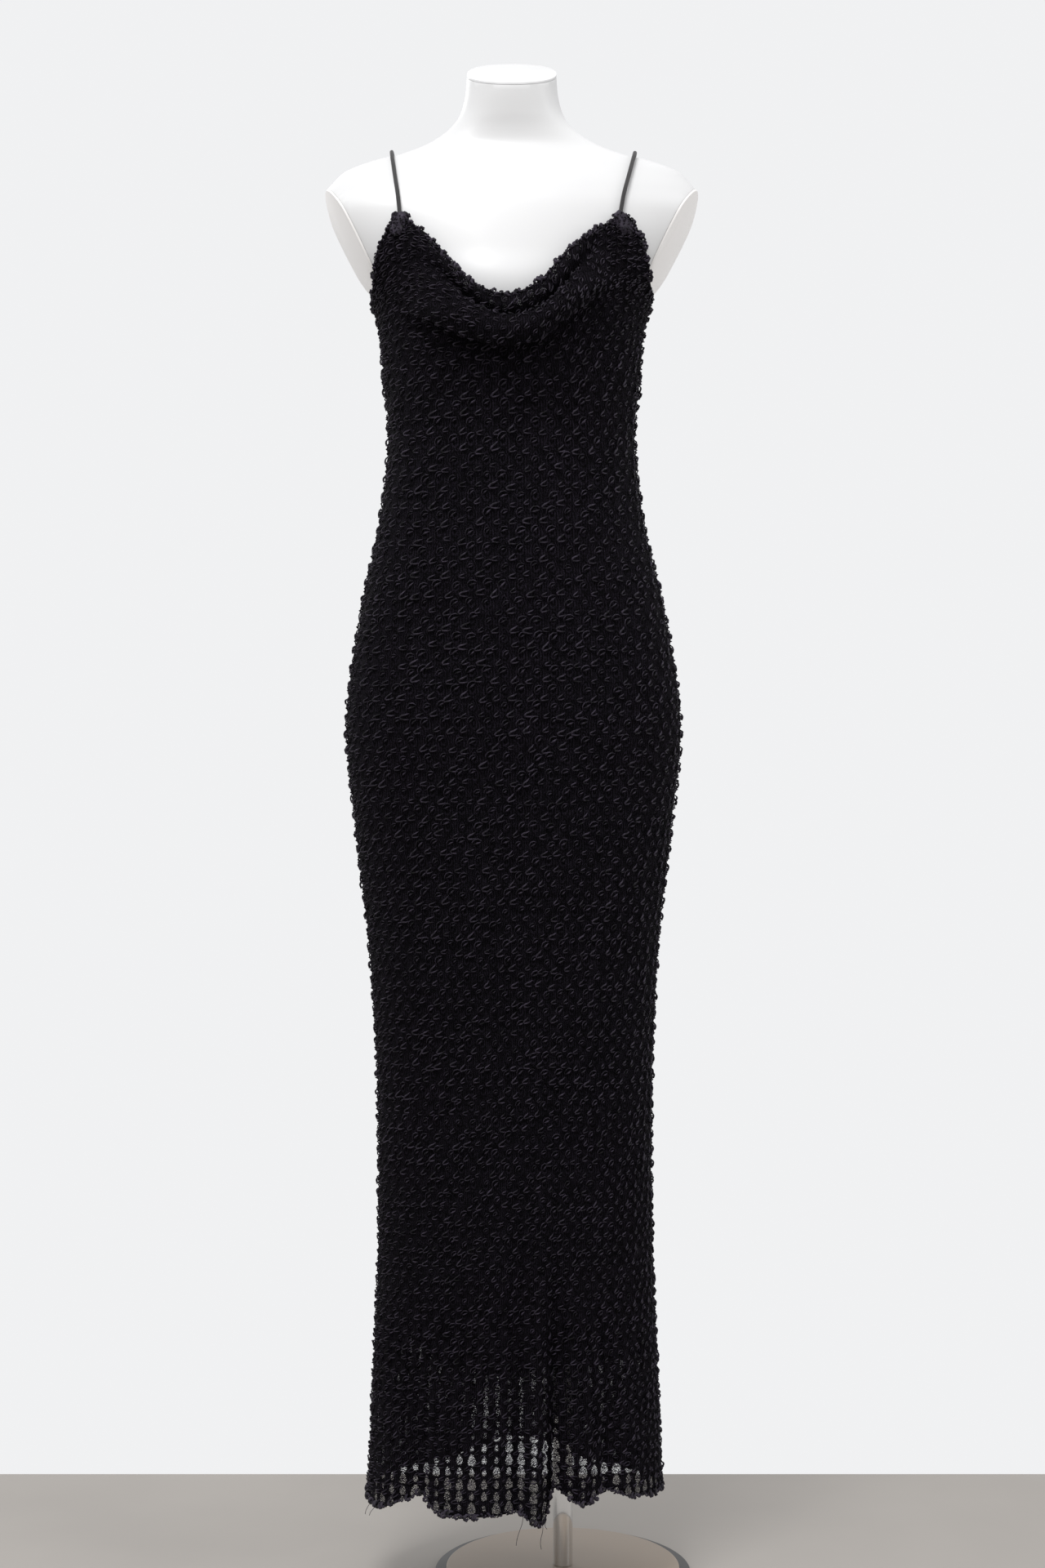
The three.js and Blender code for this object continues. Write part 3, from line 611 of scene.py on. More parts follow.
# %% Cowl lines
# Each line: height at its left end, height at its right end, distance off the chest, and its path.
COWL = [
    [1330, 1334, 0, [[-100, 1322], [-50, 1306], [0, 1300], [50, 1308], [100, 1326]]],
    [1352, 1364, 0.5, [[-112, 1356], [-60, 1346], [-8, 1336], [40, 1350], [95, 1372]]],
    [1364, 1386, 17, [[-112, 1362], [-81, 1349], [-45, 1330], [-9, 1320], [24, 1328], [50, 1350], [92, 1384]]],
    [1378, 1398, 26, [[-112, 1378], [-78, 1366], [-42, 1347], [-8, 1336], [26, 1346], [54, 1368], [92, 1402]]],
    [1400, 1414, 15, [[-112, 1402], [-76, 1388], [-40, 1364], [-6, 1352], [28, 1362], [58, 1390], [94, 1424]]],
    [1418, 1430, 4, [[-112, 1422], [-74, 1402], [-38, 1364], [-5, 1349], [30, 1360], [56, 1392], [90, 1434]]],
    [1442, 1448, 12, [[-112, 1443], [-80, 1420], [-42, 1380], [-8, 1364], [26, 1374], [52, 1404], [84, 1443]]],
    [1466, 1467, 7, [[-106, 1456], [-84, 1437], [-47, 1394], [-12, 1376], [22, 1386], [51, 1418], [80, 1446],
                     [104, 1459]]],
]
COWL_FADE_LEFT, COWL_FADE_RIGHT, COWL_FADE_FROM = 128, 112, 0.42
SETTLING_ROUNDS = 12
ARMHOLE = [[1385, 89.9], [1394, 70], [1406, 56], [1438, 41], [1455, 37.2], [1467, 32.6], [1480, 30]]


def cowl_line(left, right, out, path, shares):
    """One line as (angle, height, distance off the chest) at shares from -1, its left end, to 1."""
    left_x = float(section(DRESS, left, -along(ARMHOLE, left))[0])
    right_x = float(section(DRESS, right, along(ARMHOLE, right))[0])
    path = [[left_x, left], *path, [right_x, right]]
    angle = shares * along(ARMHOLE, np.where(shares < 0, left, right))
    height = along(path, np.zeros_like(shares))
    for _ in range(SETTLING_ROUNDS):
        height = along(path, section(DRESS, height, angle)[..., 0])
    place = section(DRESS, height, angle)[..., 0]
    fade = np.abs(place) / np.where(place < 0, COWL_FADE_LEFT, COWL_FADE_RIGHT)
    return np.stack([angle, height, out * (1 - ease(COWL_FADE_FROM, 1, fade))], axis=-1)


def between(a, b, c, d, s):
    """A point between b and c on the centripetal Catmull-Rom curve through a, b, c and d."""
    step = [np.maximum(np.sqrt(np.linalg.norm(q - p, axis=-1, keepdims=True)), 1e-3)
            for p, q in ((a, b), (b, c), (c, d))]
    leave = ((b - a) / step[0] - (c - a) / (step[0] + step[1]) + (c - b) / step[1]) * step[1]
    arrive = ((c - b) / step[1] - (d - b) / (step[1] + step[2]) + (d - c) / step[2]) * step[1]
    return (b + leave * s + (3 * (c - b) - 2 * leave - arrive) * s**2
            + (2 * (b - c) + leave + arrive) * s**3)


def cowl_rows(shares, first_levels, chest_steps, steps):
    """Rows from the waist to the neckline, on smooth curves through the cowl's lines, and their angles."""
    start = [np.stack([90 * shares, np.full_like(shares, level), 0 * shares], axis=-1)
             for level in first_levels]
    calm = ease(0, CALM_DEGREES, 90 - np.abs(90 * shares))
    lines = start + [cowl_line(*line, shares) for line in COWL]
    rows, turns = [], []
    for i in range(1, len(lines) - 1):
        count = chest_steps if i == 1 else steps
        after = lines[min(i + 2, len(lines) - 1)]
        for k in range(1, count + 1):
            point = between(lines[i - 1], lines[i], lines[i + 1], after, k / count)
            angle, height, out = np.moveaxis(point, -1, 0)
            angle = seam_angle(angle, along(DRESS, height, 2), 0)
            place = section(DRESS, height, angle)[..., 0]
            crease = calm * crease_depth(FRONT_CREASES, place, height)
            rows.append(section(DRESS, height, angle, out + crease))
            turns.append(angle)
    return np.array(rows), np.array(turns)


# %% The two grids
COLUMNS = 104
BODY_ROWS = 256
BACK_NECK = [[-155, 1385], [-92, 1372], [-40, 1362], [0, 1360], [40, 1362], [92, 1372], [155, 1385]]
BACK_NECK_REACH, UNDERARM = 152, 1385
BACK_TOP_ROWS = 34


def front_grid():
    angles = panel_angles(0, COLUMNS)
    body = body_rows(angles, 0, FRONT_HEM, FRONT_FOLDS, FRONT_CREASES, BODY_ROWS)
    cowl, turns = cowl_rows(angles / 90, (1200, WAIST_LEVEL), 20, 6)
    return np.concatenate([body, cowl]), np.concatenate([np.tile(angles, (len(body), 1)), turns])


def back_grid():
    angles = panel_angles(180, COLUMNS)
    body = body_rows(angles, 180, BACK_HEM, BACK_FOLDS, BACK_CREASES, BODY_ROWS)
    neck = np.minimum(along(BACK_NECK, BACK_NECK_REACH * np.sin(np.radians(angles))), UNDERARM)
    share = np.arange(1, BACK_TOP_ROWS + 1)[:, None] / BACK_TOP_ROWS
    height = WAIST_LEVEL + (neck - WAIST_LEVEL)[None, :] * share
    top = panel_point(angles[None, :] + 0 * height, 180, height, [], 0, BACK_CREASES)
    return np.concatenate([body, top]), np.tile(angles - 180, (len(body) + len(top), 1))


grids, turns = {}, {}
grids["front"], turns["front"] = front_grid()
grids["back"], turns["back"] = back_grid()
for side, grid in grids.items():
    low, high = (np.array(corner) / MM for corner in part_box(side + "_panel"))
    ends = np.concatenate([(grid + AXIS).min((0, 1)) - low, (grid + AXIS).max((0, 1)) - high])
    print(side, grid.shape[:2], "grid against the packed panel's box, mm:", np.round(ends, 1))

# %% [markdown]
# ### Counting the knit
# The knit repeats in cells: columns counted from the middle of a panel and rows counted up from the floor.
# Cells are largest at the waist, where the cloth is stretched, and smaller down the skirt and in the cowl.
# The map of the cloth is in cells, so the finish can place an opening in each one, and yarn can be laid on
# each one.

# %% The map of the knit
# Height, width of a cell and height of a cell.
CELLS = [
    [60, 12.9, 12.2], [128, 12.9, 12.4], [188, 12.9, 13.3], [299, 12.0, 14.6], [385, 12.2, 15.5],
    [513, 12.9, 16.7], [625, 13.7, 17.2], [736, 14.6, 17.6], [856, 15.7, 18.0], [976, 17.1, 18.0],
    [1114, 17.1, 18.9], [1251, 17.1, 19.3], [1300, 16.2, 17.6], [1345, 13.6, 14.2], [1400, 12.8, 13.0],
    [1500, 12.8, 13.0],
]


def row_count(height):
    """How many rows of cells lie between the floor and a height."""
    steps = np.arange(0, 1600, 2.0)
    total = np.concatenate([[0], np.cumsum(2.0 / along(CELLS, steps[:-1] + 1, 2))])
    return np.interp(height, steps, total)


def column_count(height, turn, middle):
    """How many columns of cells lie between the middle of a panel and a turn away from it, at a height."""
    levels = np.arange(60, 1500, 20.0)
    degrees = np.arange(-90, 91.0)
    rings = section(DRESS, levels[:, None], middle + degrees[None, :])
    length = np.cumsum(np.linalg.norm(np.diff(rings, axis=1), axis=2), axis=1)
    length = np.concatenate([np.zeros((len(levels), 1)), length], axis=1)
    count = (length - length[:, 90:91]) / along(CELLS, levels, 1)[:, None]
    row = np.clip((height - levels[0]) / 20.0, 0, len(levels) - 1.001)
    column = np.clip(turn + 90, 0, 179.999)
    return pick(count[..., None], row, column)[..., 0]


def pick(grid, row, column):
    """Values of a grid at places between its rows and columns."""
    row = np.clip(row, 0, len(grid) - 1.0001)
    column = np.clip(column, 0, grid.shape[1] - 1.0001)
    r, c = row.astype(int), column.astype(int)
    fr, fc = (row - r)[..., None], (column - c)[..., None]
    low = grid[r, c] * (1 - fc) + grid[r, c + 1] * fc
    return low * (1 - fr) + (grid[r + 1, c] * (1 - fc) + grid[r + 1, c + 1] * fc) * fr


def cloth_map(grid, turn, middle):
    """The column and the row of every point of a grid, both counted in cells."""
    rows = row_count(grid[..., 2])
    rise = np.linalg.norm(np.diff(grid, axis=0), axis=2) / along(CELLS, grid[1:, :, 2], 2)
    rows[BODY_ROWS + 1:] = rows[BODY_ROWS] + np.cumsum(rise[BODY_ROWS:], axis=0)
    return np.stack([column_count(grid[..., 2], turn, middle), rows], axis=-1)


maps = {side: cloth_map(grids[side], turns[side], middle) for side, middle in (("front", 0), ("back", 180))}
for side, cells in maps.items():
    print(side, "columns", np.round(cells[..., 0].min(), 1), "to", np.round(cells[..., 0].max(), 1),
          "and rows", np.round(cells[..., 1].min(), 1), "to", np.round(cells[..., 1].max(), 1))

# %% [markdown]
# ### Relief and openness
# The cloth bulges under each loop of yarn and dips between them, a little differently in every cell. How
# open it looks also changes: the cloth is a single layer at the hem and at the neckline, where light comes
# through, and it lies dense over the lining. That is a number on every point, which the finish reads.

# %% Relief and openness
rng = np.random.default_rng(27)
NOISE_CELLS = 160
CELL_NOISE = rng.random((NOISE_CELLS, NOISE_CELLS, 6))
LOOP_BULGE, LOOP_REACH, FAN_DIP, FAN_REACH = 1.5, 4.6, 0.5, 3.4
FLAT_EDGE_ROWS = 3.0
KNIT_SHELL = 0.0011
HEM_OPEN_FROM, HEM_OPEN_FULL = 330, 262
NECK_OPEN, NECK_OPEN_DEPTH = 0.56, 2.0


def normals_of(grid):
    across, up = np.gradient(grid, axis=1), np.gradient(grid, axis=0)
    return unit(np.cross(across, up))


def cell_noise(column, row, kind):
    """A steady random number from 0 to 1 for the cell that a place lies in."""
    column, row = (np.round(place).astype(int) % NOISE_CELLS for place in (column, row))
    return CELL_NOISE[column, row, kind]


def relief(cells, width, height):
    u, v = cells[..., 0], cells[..., 1]
    away = np.hypot((u - np.round(u)) * width, (v - np.round(v)) * height)
    loop = np.exp(-((away / LOOP_REACH) ** 2)) * (0.7 + 0.6 * cell_noise(u, v, 0))
    du, dv = u - 0.5 - np.round(u - 0.5), v - 0.5 - np.round(v - 0.5)
    fan = np.exp(-((np.hypot(du * width, dv * height) / FAN_REACH) ** 2))
    return LOOP_BULGE * loop - FAN_DIP * fan


def add_panel(side):
    """A knit panel: the grid with its relief, as a shell with a map and its openness."""
    grid, cells = grids[side], maps[side]
    bumps = relief(cells, along(CELLS, grid[..., 2], 1), along(CELLS, grid[..., 2], 2))
    edge = np.minimum(np.arange(len(grid)), np.arange(len(grid))[::-1])[:, None] / FLAT_EDGE_ROWS
    points = grid + normals_of(grid) * (bumps * np.clip(edge, 0, 1))[..., None] + AXIS
    faces = grid_faces(*grid.shape[:2])
    panel = add_piece(side + "_knit", points, [faces], knit_finish, [side + "_panel"], "knit")
    set_map(panel, "knit", cells.reshape(-1, 2)[faces.ravel()])
    below_neck = cells[-1:, :, 1] - cells[..., 1]
    opened = np.maximum(ease(HEM_OPEN_FROM, HEM_OPEN_FULL, grid[..., 2]),
                        NECK_OPEN * ease(NECK_OPEN_DEPTH, 0.6, below_neck) * (grid[..., 2] > WAIST_LEVEL))
    openness = panel.data.attributes.new("openness", "FLOAT", "POINT")
    openness.data.foreach_set("value", opened.astype(np.float32).ravel())
    thicken(panel, KNIT_SHELL, use_even_offset=False)
    return panel


# %% [markdown]
# ### The knit's finish
# The finish works inside one cell of the map. It finds the place in the cell, draws the drop-shaped opening
# between the loops as slanting slits, and raises fine arcs of yarn round it. The yarn itself is black with
# a faint violet cast. Its colour holds painted highlight and painted shade: lighter where the yarn stands out,
# darker in the slits and between the strands.

# %% Openwork group
CELL_WIDTH, CELL_HEIGHT = 15.0, 17.0  # a middling cell, in millimetres
DROP_HALF_WIDTH, DROP_TAPER, DROP_RISE = 6.0, 0.3, 12.0
DROP_SMALLEST, DROP_SPREAD, DROP_EDGE = 0.7, 0.5, 2.2
SLIT_LEAN, SLIT_SQUEEZE = 0.55, (2.2, 0.72, 1.0)
OPEN_SHARE, OPEN_EDGE = 0.48, 8.0
RINGS, RING_SHIFT, RING_HEIGHT = 15.0, 3.0, 0.8
RIBS, RIB_HEIGHT, SLIT_DEPTH = 37.7, 0.35, 1.9


def make_openwork():
    """Slits in each cell's opening, and the height of the fine yarn round it."""
    tree, inputs, outputs = new_group(
        "openwork", [("Width", CELL_WIDTH), ("Height", CELL_HEIGHT), ("Open", 1.0)], ["Opening", "Height"])

    def result(operation, *values, clamp=False):
        return maths(tree, operation, *values, clamp=clamp)

    cell = add_node(tree, "ShaderNodeTexCoord").outputs["UV"]
    parts = add_node(tree, "ShaderNodeSeparateXYZ", {"Vector": cell}).outputs
    corner = add_node(tree, "ShaderNodeVectorMath", {0: cell}, operation="FLOOR").outputs["Vector"]
    chance = add_node(tree, "ShaderNodeTexWhiteNoise", {"Vector": corner}).outputs["Value"]
    across_share = result("SUBTRACT", result("FRACT", parts["X"]), 0.5)
    up_share = result("SUBTRACT", result("FRACT", parts["Y"]), 0.5)
    across = result("MULTIPLY", across_share, inputs["Width"])
    up = result("MULTIPLY", up_share, inputs["Height"])
    # the drop gets narrower towards its top, and is larger in some cells than in others
    narrow = result("SUBTRACT", DROP_HALF_WIDTH, result("MULTIPLY", up, DROP_TAPER))
    side = result("DIVIDE", across, narrow)
    rise = result("DIVIDE", up, DROP_RISE)
    far = result("SQRT", result("ADD", result("MULTIPLY", side, side), result("MULTIPLY", rise, rise)))
    size = result("ADD", DROP_SMALLEST, result("MULTIPLY", chance, DROP_SPREAD))
    drop = result("MULTIPLY", result("SUBTRACT", size, far), DROP_EDGE, clamp=True)
    # the drop fades out towards the sides of the cell, and the arcs towards all its edges
    room_across = result("SUBTRACT", 1.0, result("MULTIPLY", result("ABSOLUTE", across_share), 2.0))
    room_up = result("SUBTRACT", 1.0, result("MULTIPLY", result("ABSOLUTE", up_share), 2.0))
    window = result("MULTIPLY", result("MULTIPLY", room_across, room_up), 7.0, clamp=True)
    drop = result("MULTIPLY", drop, result("MULTIPLY", room_across, 3.5, clamp=True))
    # slits lean to the right: long, narrow specks of a stretched noise
    run = add_node(tree, "ShaderNodeCombineXYZ", {"X": result("MULTIPLY", parts["X"], inputs["Width"]),
                                                  "Y": result("MULTIPLY", parts["Y"], inputs["Height"])})
    turned = add_node(tree, "ShaderNodeMapping", {"Vector": run.outputs["Vector"],
                                                  "Rotation": (0, 0, SLIT_LEAN), "Scale": SLIT_SQUEEZE})
    share = spread(tree, noise(tree, turned.outputs["Vector"], 1.0, 1.0), (0.3, 0.66))
    threshold = result("SUBTRACT", 1.0, result("MULTIPLY", inputs["Open"], OPEN_SHARE))
    over = result("SUBTRACT", result("MULTIPLY", share, drop), threshold)
    tree.links.new(result("MULTIPLY", over, OPEN_EDGE, clamp=True), outputs["Opening"])
    # fine yarn: arcs round the drop, and narrow ribs between the drops
    shifted = result("ADD", result("MULTIPLY", far, RINGS), result("MULTIPLY", chance, RING_SHIFT))
    fade = result("SUBTRACT", 1.0, result("MULTIPLY", far, 0.4), clamp=True)
    rib = result("SINE", result("MULTIPLY", parts["X"], RIBS))
    ring = result("MULTIPLY", result("MULTIPLY", result("SINE", shifted), fade), window)
    height = result("ADD", result("MULTIPLY", ring, RING_HEIGHT), result("MULTIPLY", rib, RIB_HEIGHT))
    tree.links.new(result("SUBTRACT", height, result("MULTIPLY", share, SLIT_DEPTH)), outputs["Height"])
    return tree


OPENWORK = make_openwork()


def make_knit():
    material, tree, shader = new_finish("openwork knit", roughness=0.9, sheen_weight=0.0)
    shader.inputs["Specular IOR Level"].default_value = 0.06
    openness = add_node(tree, "ShaderNodeAttribute", attribute_name="openness").outputs["Fac"]
    work = add_node(tree, "ShaderNodeGroup", {"Open": openness}, node_tree=OPENWORK).outputs
    strands = use_group(tree, STRANDS, 1.0)
    tree.links.new(maths(tree, "SUBTRACT", 1.0, work["Opening"], clamp=True), shader.inputs["Alpha"])
    height = maths(tree, "ADD", work["Height"], maths(tree, "MULTIPLY", strands["Height"], 1.2))
    # painted highlight and painted shade: the colour is lighter where the yarn's height stands out, darker in
    # the slits and between strands
    painted_highlight_and_shade = spread(tree, height, (-0.9, 0.75))
    share = maths(tree, "MULTIPLY", painted_highlight_and_shade, maths(tree, "ADD", 0.35, strands["Tone"]))
    tree.links.new(blend_colours(tree, share, (0.0008, 0.0006, 0.001), (0.025, 0.020, 0.031)),
                   shader.inputs["Base Color"])
    add_bump(tree, shader, height, 0.0009)
    return material


knit_finish = make_knit()
front = add_panel("front")
back = add_panel("back")

# %% [markdown]
# ### The lining
# A plain black jersey slip hangs inside the knit and ends well above its hem, so the knit is see-through
# below it. It is two more shells on the same sections, a little further in, and further again where the knit
# falls in folds.

# %% Lining
LINING_HEM = [[-165, 252], [-125, 268], [-100, 272], [-84, 246], [0, 241], [70, 248], [165, 246]]
LINING_TOP = [[-155, 1330], [-80, 1304], [0, 1284], [80, 1304], [155, 1330]]
LINING_REACH, LINING_INSET, LINING_ROOM = 155, 4.0, 15
LINING_ROOM_FROM, LINING_ROOM_FULL = 560, 250
SWAY_DEPTH, SWAY_WIDTH, SWAY_FROM, SWAY_FULL = 1.2, 13.0, 520, 260
LINING_COLUMNS, LINING_ROWS = 60, 120
LINING_SHELL = 0.0008


def make_jersey():
    """Fine black jersey: narrow upright ribs and a soft matt face."""
    material, tree, shader = new_finish("black jersey", roughness=0.85)
    shader.inputs["Specular IOR Level"].default_value = 0.1
    map_ = add_node(tree, "ShaderNodeTexCoord").outputs["UV"]
    parts = add_node(tree, "ShaderNodeSeparateXYZ", {"Vector": map_}).outputs
    rib = maths(tree, "SINE", maths(tree, "MULTIPLY", parts["X"], 5.2))
    course = maths(tree, "SINE", maths(tree, "MULTIPLY", parts["Y"], 7.4))
    strands = use_group(tree, STRANDS, 0.6)
    tree.links.new(blend_colours(tree, strands["Tone"], (0.002, 0.002, 0.0022), (0.0045, 0.0045, 0.005)),
                   shader.inputs["Base Color"])
    add_bump(tree, shader, maths(tree, "ADD", rib, maths(tree, "MULTIPLY", course, 0.5)), 0.00012)
    return material


jersey_finish = make_jersey()


def add_lining(side, middle):
    angles = panel_angles(middle, LINING_COLUMNS)
    place = (1 if middle == 0 else -1) * LINING_REACH * np.sin(np.radians(angles - middle))
    hem, top = along(LINING_HEM, place)[None, :], along(LINING_TOP, place)[None, :]
    height = hem + (top - hem) * np.linspace(0, 1, LINING_ROWS + 1)[:, None]
    calm = ease(0, CALM_DEGREES, 90 - np.abs(angles - middle))[None, :]
    inward = LINING_INSET + LINING_ROOM * ease(LINING_ROOM_FROM, LINING_ROOM_FULL, height) * calm
    grid = panel_point(angles[None, :] + 0 * height, middle, height, [], 0, outward=-inward)
    sway = SWAY_DEPTH * np.sin(place / SWAY_WIDTH)[None, :] * ease(SWAY_FROM, SWAY_FULL, height) * calm
    grid = grid + normals_of(grid) * sway[..., None]
    faces = grid_faces(*grid.shape[:2])
    node = "lining_" + side
    lining = add_piece(node + "_jersey", grid + AXIS, [faces], jersey_finish, [node], "lining")
    flat = np.stack([place[None, :] + 0 * height, height], axis=-1).reshape(-1, 2)
    set_map(lining, "jersey", flat[faces.ravel()])
    thicken(lining, LINING_SHELL)
    return lining


lining_front = add_lining("front", 0)
lining_back = add_lining("back", 180)

# %% [markdown]
# ## Yarn on the cloth
# Each cell of the knit has one bold loop of yarn that stands out like a hairpin, and between four loops a
# short strand with a fine arc over it. They could be instances from Geometry Nodes. Here each is modelled
# once as a thin tube and copied with numbers, because every copy has to follow the map of the cloth.

# %% Tubes of yarn
def smooth_path(points, count):
    """A path of evenly counted points on the smooth curve through a few points."""
    points = np.asarray(points, float)
    ends = np.concatenate([[2 * points[0] - points[1]], points, [2 * points[-1] - points[-2]]])
    spot = np.linspace(0, len(points) - 1, count)
    i = np.minimum(spot.astype(int), len(points) - 2)
    return between(ends[i], ends[i + 1], ends[i + 2], ends[i + 3], (spot - i)[:, None])


def tube(path, radius, sides):
    """Points and faces of a closed tube along a path, in millimetres."""
    path = np.asarray(path, float)
    radius = np.broadcast_to(radius, len(path))
    forward = unit(np.gradient(path, axis=0))
    side = unit(np.cross(forward[0], [0.3, 0.2, 0.93]))
    turn = 2 * np.pi * np.arange(sides) / sides
    rings = []
    for place, ahead, size in zip(path, forward, radius):
        side = unit(side - ahead * (side @ ahead))
        other = np.cross(ahead, side)
        rings.append(place + size * (np.cos(turn)[:, None] * side + np.sin(turn)[:, None] * other))
    return np.concatenate(rings), tube_faces(len(path), sides)


def join(parts):
    """Several (points, faces) as one, with faces of the same corner count put together."""
    points, groups, start = [], {}, 0
    for part_points, part_faces in parts:
        for faces in part_faces:
            groups.setdefault(np.shape(faces)[1], []).append(np.asarray(faces) + start)
        points.append(part_points)
        start += len(part_points)
    return np.concatenate(points), [np.concatenate(group) for group in groups.values()]


def lay(shape, place, across, up, out, size, spin):
    """Copies of a shape at places on the cloth, each turned in the cloth's own plane."""
    points, face_groups = shape
    turned_x = points[None, :, 0] * size[:, None, 0]
    turned_y = points[None, :, 1] * size[:, None, 1]
    cos, sin = np.cos(spin)[:, None], np.sin(spin)[:, None]
    x, y = turned_x * cos - turned_y * sin, turned_x * sin + turned_y * cos
    z = points[None, :, 2] * size[:, None, 2]
    laid = (place[:, None] + x[..., None] * across[:, None] + y[..., None] * up[:, None]
            + z[..., None] * out[:, None])
    start = np.arange(len(place)) * len(points)
    faces = [(group[None] + start[:, None, None]).reshape(-1, group.shape[1]) for group in face_groups]
    return laid.reshape(-1, 3), faces


# Paths inside one cell, in millimetres: across, up and out from the cloth.
LOOP_PATH = [(4.4, -2.0, 0.1), (0.4, -3.2, 1.9), (-4.0, -2.8, 2.4), (-2.9, -0.5, 2.9), (0.4, 1.3, 2.6),
             (3.6, 3.8, 0.2)]
LOOP_RADIUS = [0.55, 0.85, 0.95, 0.95, 0.95, 0.85, 0.5]
STRAND_PATH = [(-3.2, -1.8, 0.1), (0.2, 0.1, 2.1), (3.4, 2.2, 0.2)]
ARC_CENTRE, ARC_RADIUS, ARC_FROM, ARC_TO = (0.8, -0.8), 5.4, 55, 205
CURL_PATH = [(-2.0, -0.9, 0.0), (-1.1, 1.0, 0.8), (0.9, 1.3, 1.3), (1.5, -0.4, 1.1), (0.2, -1.0, 0.4)]
DRAWN_WIDTH, DRAWN_HEIGHT = 17.1, 19.3  # the cell that the paths are drawn for
YARN_VARY = 0.5


def arc_path(count):
    turn = np.radians(np.linspace(ARC_FROM, ARC_TO, count))
    lift = 0.3 + 1.1 * np.sin(np.linspace(0, np.pi, count))
    across, up = ARC_CENTRE[0] + ARC_RADIUS * np.cos(turn), ARC_CENTRE[1] + ARC_RADIUS * np.sin(turn)
    return np.stack([across, up, lift], -1)


loop_shape = tube(smooth_path(LOOP_PATH, 7), LOOP_RADIUS, 5)
fan_shape = join([tube(smooth_path(STRAND_PATH, 3), [0.5, 1.0, 0.5], 4), tube(arc_path(5), 0.7, 3)])
curl_shape = tube(smooth_path(CURL_PATH, 6), [0.6, 1.0, 1.2, 1.2, 1.1, 0.7], 4)
print("points of a loop, a fan and a curl:", len(loop_shape[0]), len(fan_shape[0]), len(curl_shape[0]))

# %% Where each cell lies
def cell_sites(cells, shift):
    """Column, row and grid place of every cell whose middle lies on the cloth."""
    u, v = cells[..., 0], cells[..., 1]
    found = []
    for column in np.arange(math.ceil(u.min() - shift), u.max() - shift) + shift:
        spot = np.array([np.interp(column, line, np.arange(len(line)), left=-1, right=-1) for line in u])
        rows = np.nonzero(spot >= 0)[0]
        if len(rows) < 2:
            continue
        level = pick(v[..., None], rows.astype(float), spot[rows])[:, 0]
        wanted = np.arange(math.ceil(level.min() - shift + 0.3), level.max() - shift - 0.3) + shift
        row = np.interp(wanted, level, rows)
        inside = spot[np.round(row).astype(int)] >= 0
        row, wanted = row[inside], wanted[inside]
        grid_column = np.interp(row, rows, spot[rows])
        found.append(np.stack([np.full(len(row), column), wanted, row, grid_column], axis=-1))
    return np.concatenate(found)


def make_yarn():
    """Matt black yarn: twisted strands with a faint violet cast."""
    material, tree, shader = new_finish("black yarn", roughness=0.6)
    shader.inputs["Specular IOR Level"].default_value = 0.2
    strands = use_group(tree, STRANDS, 1.3)
    tree.links.new(blend_colours(tree, strands["Tone"], (0.001, 0.0008, 0.0013), (0.038, 0.0305, 0.047)),
                   shader.inputs["Base Color"])
    add_bump(tree, shader, strands["Height"], 0.0003)
    return material


yarn_finish = make_yarn()


def add_yarn(name, side, shape, shift):
    """One copy of a shape on every cell of a panel, each a little different."""
    grid = grids[side]
    sites = cell_sites(maps[side], shift)
    column, row = sites[:, 0] - shift, sites[:, 1] - shift
    jitter = [cell_noise(column, row, kind) - 0.5 for kind in range(1, 6)]
    grid_row = sites[:, 2] + YARN_VARY * 2.4 * jitter[0]
    grid_column = sites[:, 3] + YARN_VARY * 2.4 * jitter[1]
    place = pick(grid, grid_row, grid_column) + AXIS
    across = unit(pick(np.gradient(grid, axis=1), grid_row, grid_column))
    out = unit(pick(normals_of(grid), grid_row, grid_column))
    up = np.cross(out, across)
    width = along(CELLS, place[:, 2], 1) / DRAWN_WIDTH
    height = along(CELLS, place[:, 2], 2) / DRAWN_HEIGHT
    grow = 1 + YARN_VARY * jitter[2]
    size = np.stack([width * grow, height * grow, (0.6 + 0.4 * width) * (1 + 0.5 * jitter[3])], axis=-1)
    points, faces = lay(shape, place, across, up, out, size, YARN_VARY * 1.1 * jitter[4])
    piece = add_piece(name, points, faces, yarn_finish, slot="knit")
    print(name, len(sites), "copies,", triangles(piece), "triangles")
    return piece


loops_front = add_yarn("loops_front", "front", loop_shape, 0.0)
loops_back = add_yarn("loops_back", "back", loop_shape, 0.0)
fans_front = add_yarn("fans_front", "front", fan_shape, 0.5)
fans_back = add_yarn("fans_back", "back", fan_shape, 0.5)

# %% [markdown]
# ### Edges and seams
# The hem, the neckline and the armholes have no binding: the last row of yarn makes small curls, which give
# the edge its rough outline. The side seams are crossed by small loops and drawn together by a yarn. The
# edge of each grid is known, so the curls are laid along it at an even distance.

# %% Curls along the edges
def edge_frames(line, inner, spacing, out):
    """Places along an edge at an even distance, with directions along it, away from the cloth and out."""
    length = np.concatenate([[0], np.cumsum(np.linalg.norm(np.diff(line, axis=0), axis=1))])
    spots = np.arange(spacing / 2, length[-1], spacing)
    at = lambda values: np.stack([np.interp(spots, length, values[:, k]) for k in range(3)], axis=-1)
    forward = unit(at(np.gradient(line, axis=0)))
    outward = unit(at(out))
    away = unit(at(line - inner))
    away = unit(away - forward * (away * forward).sum(-1, keepdims=True))
    return at(line), forward, away, outward


EDGE_BUMP, CURL_BURY = 0.7, 1.2


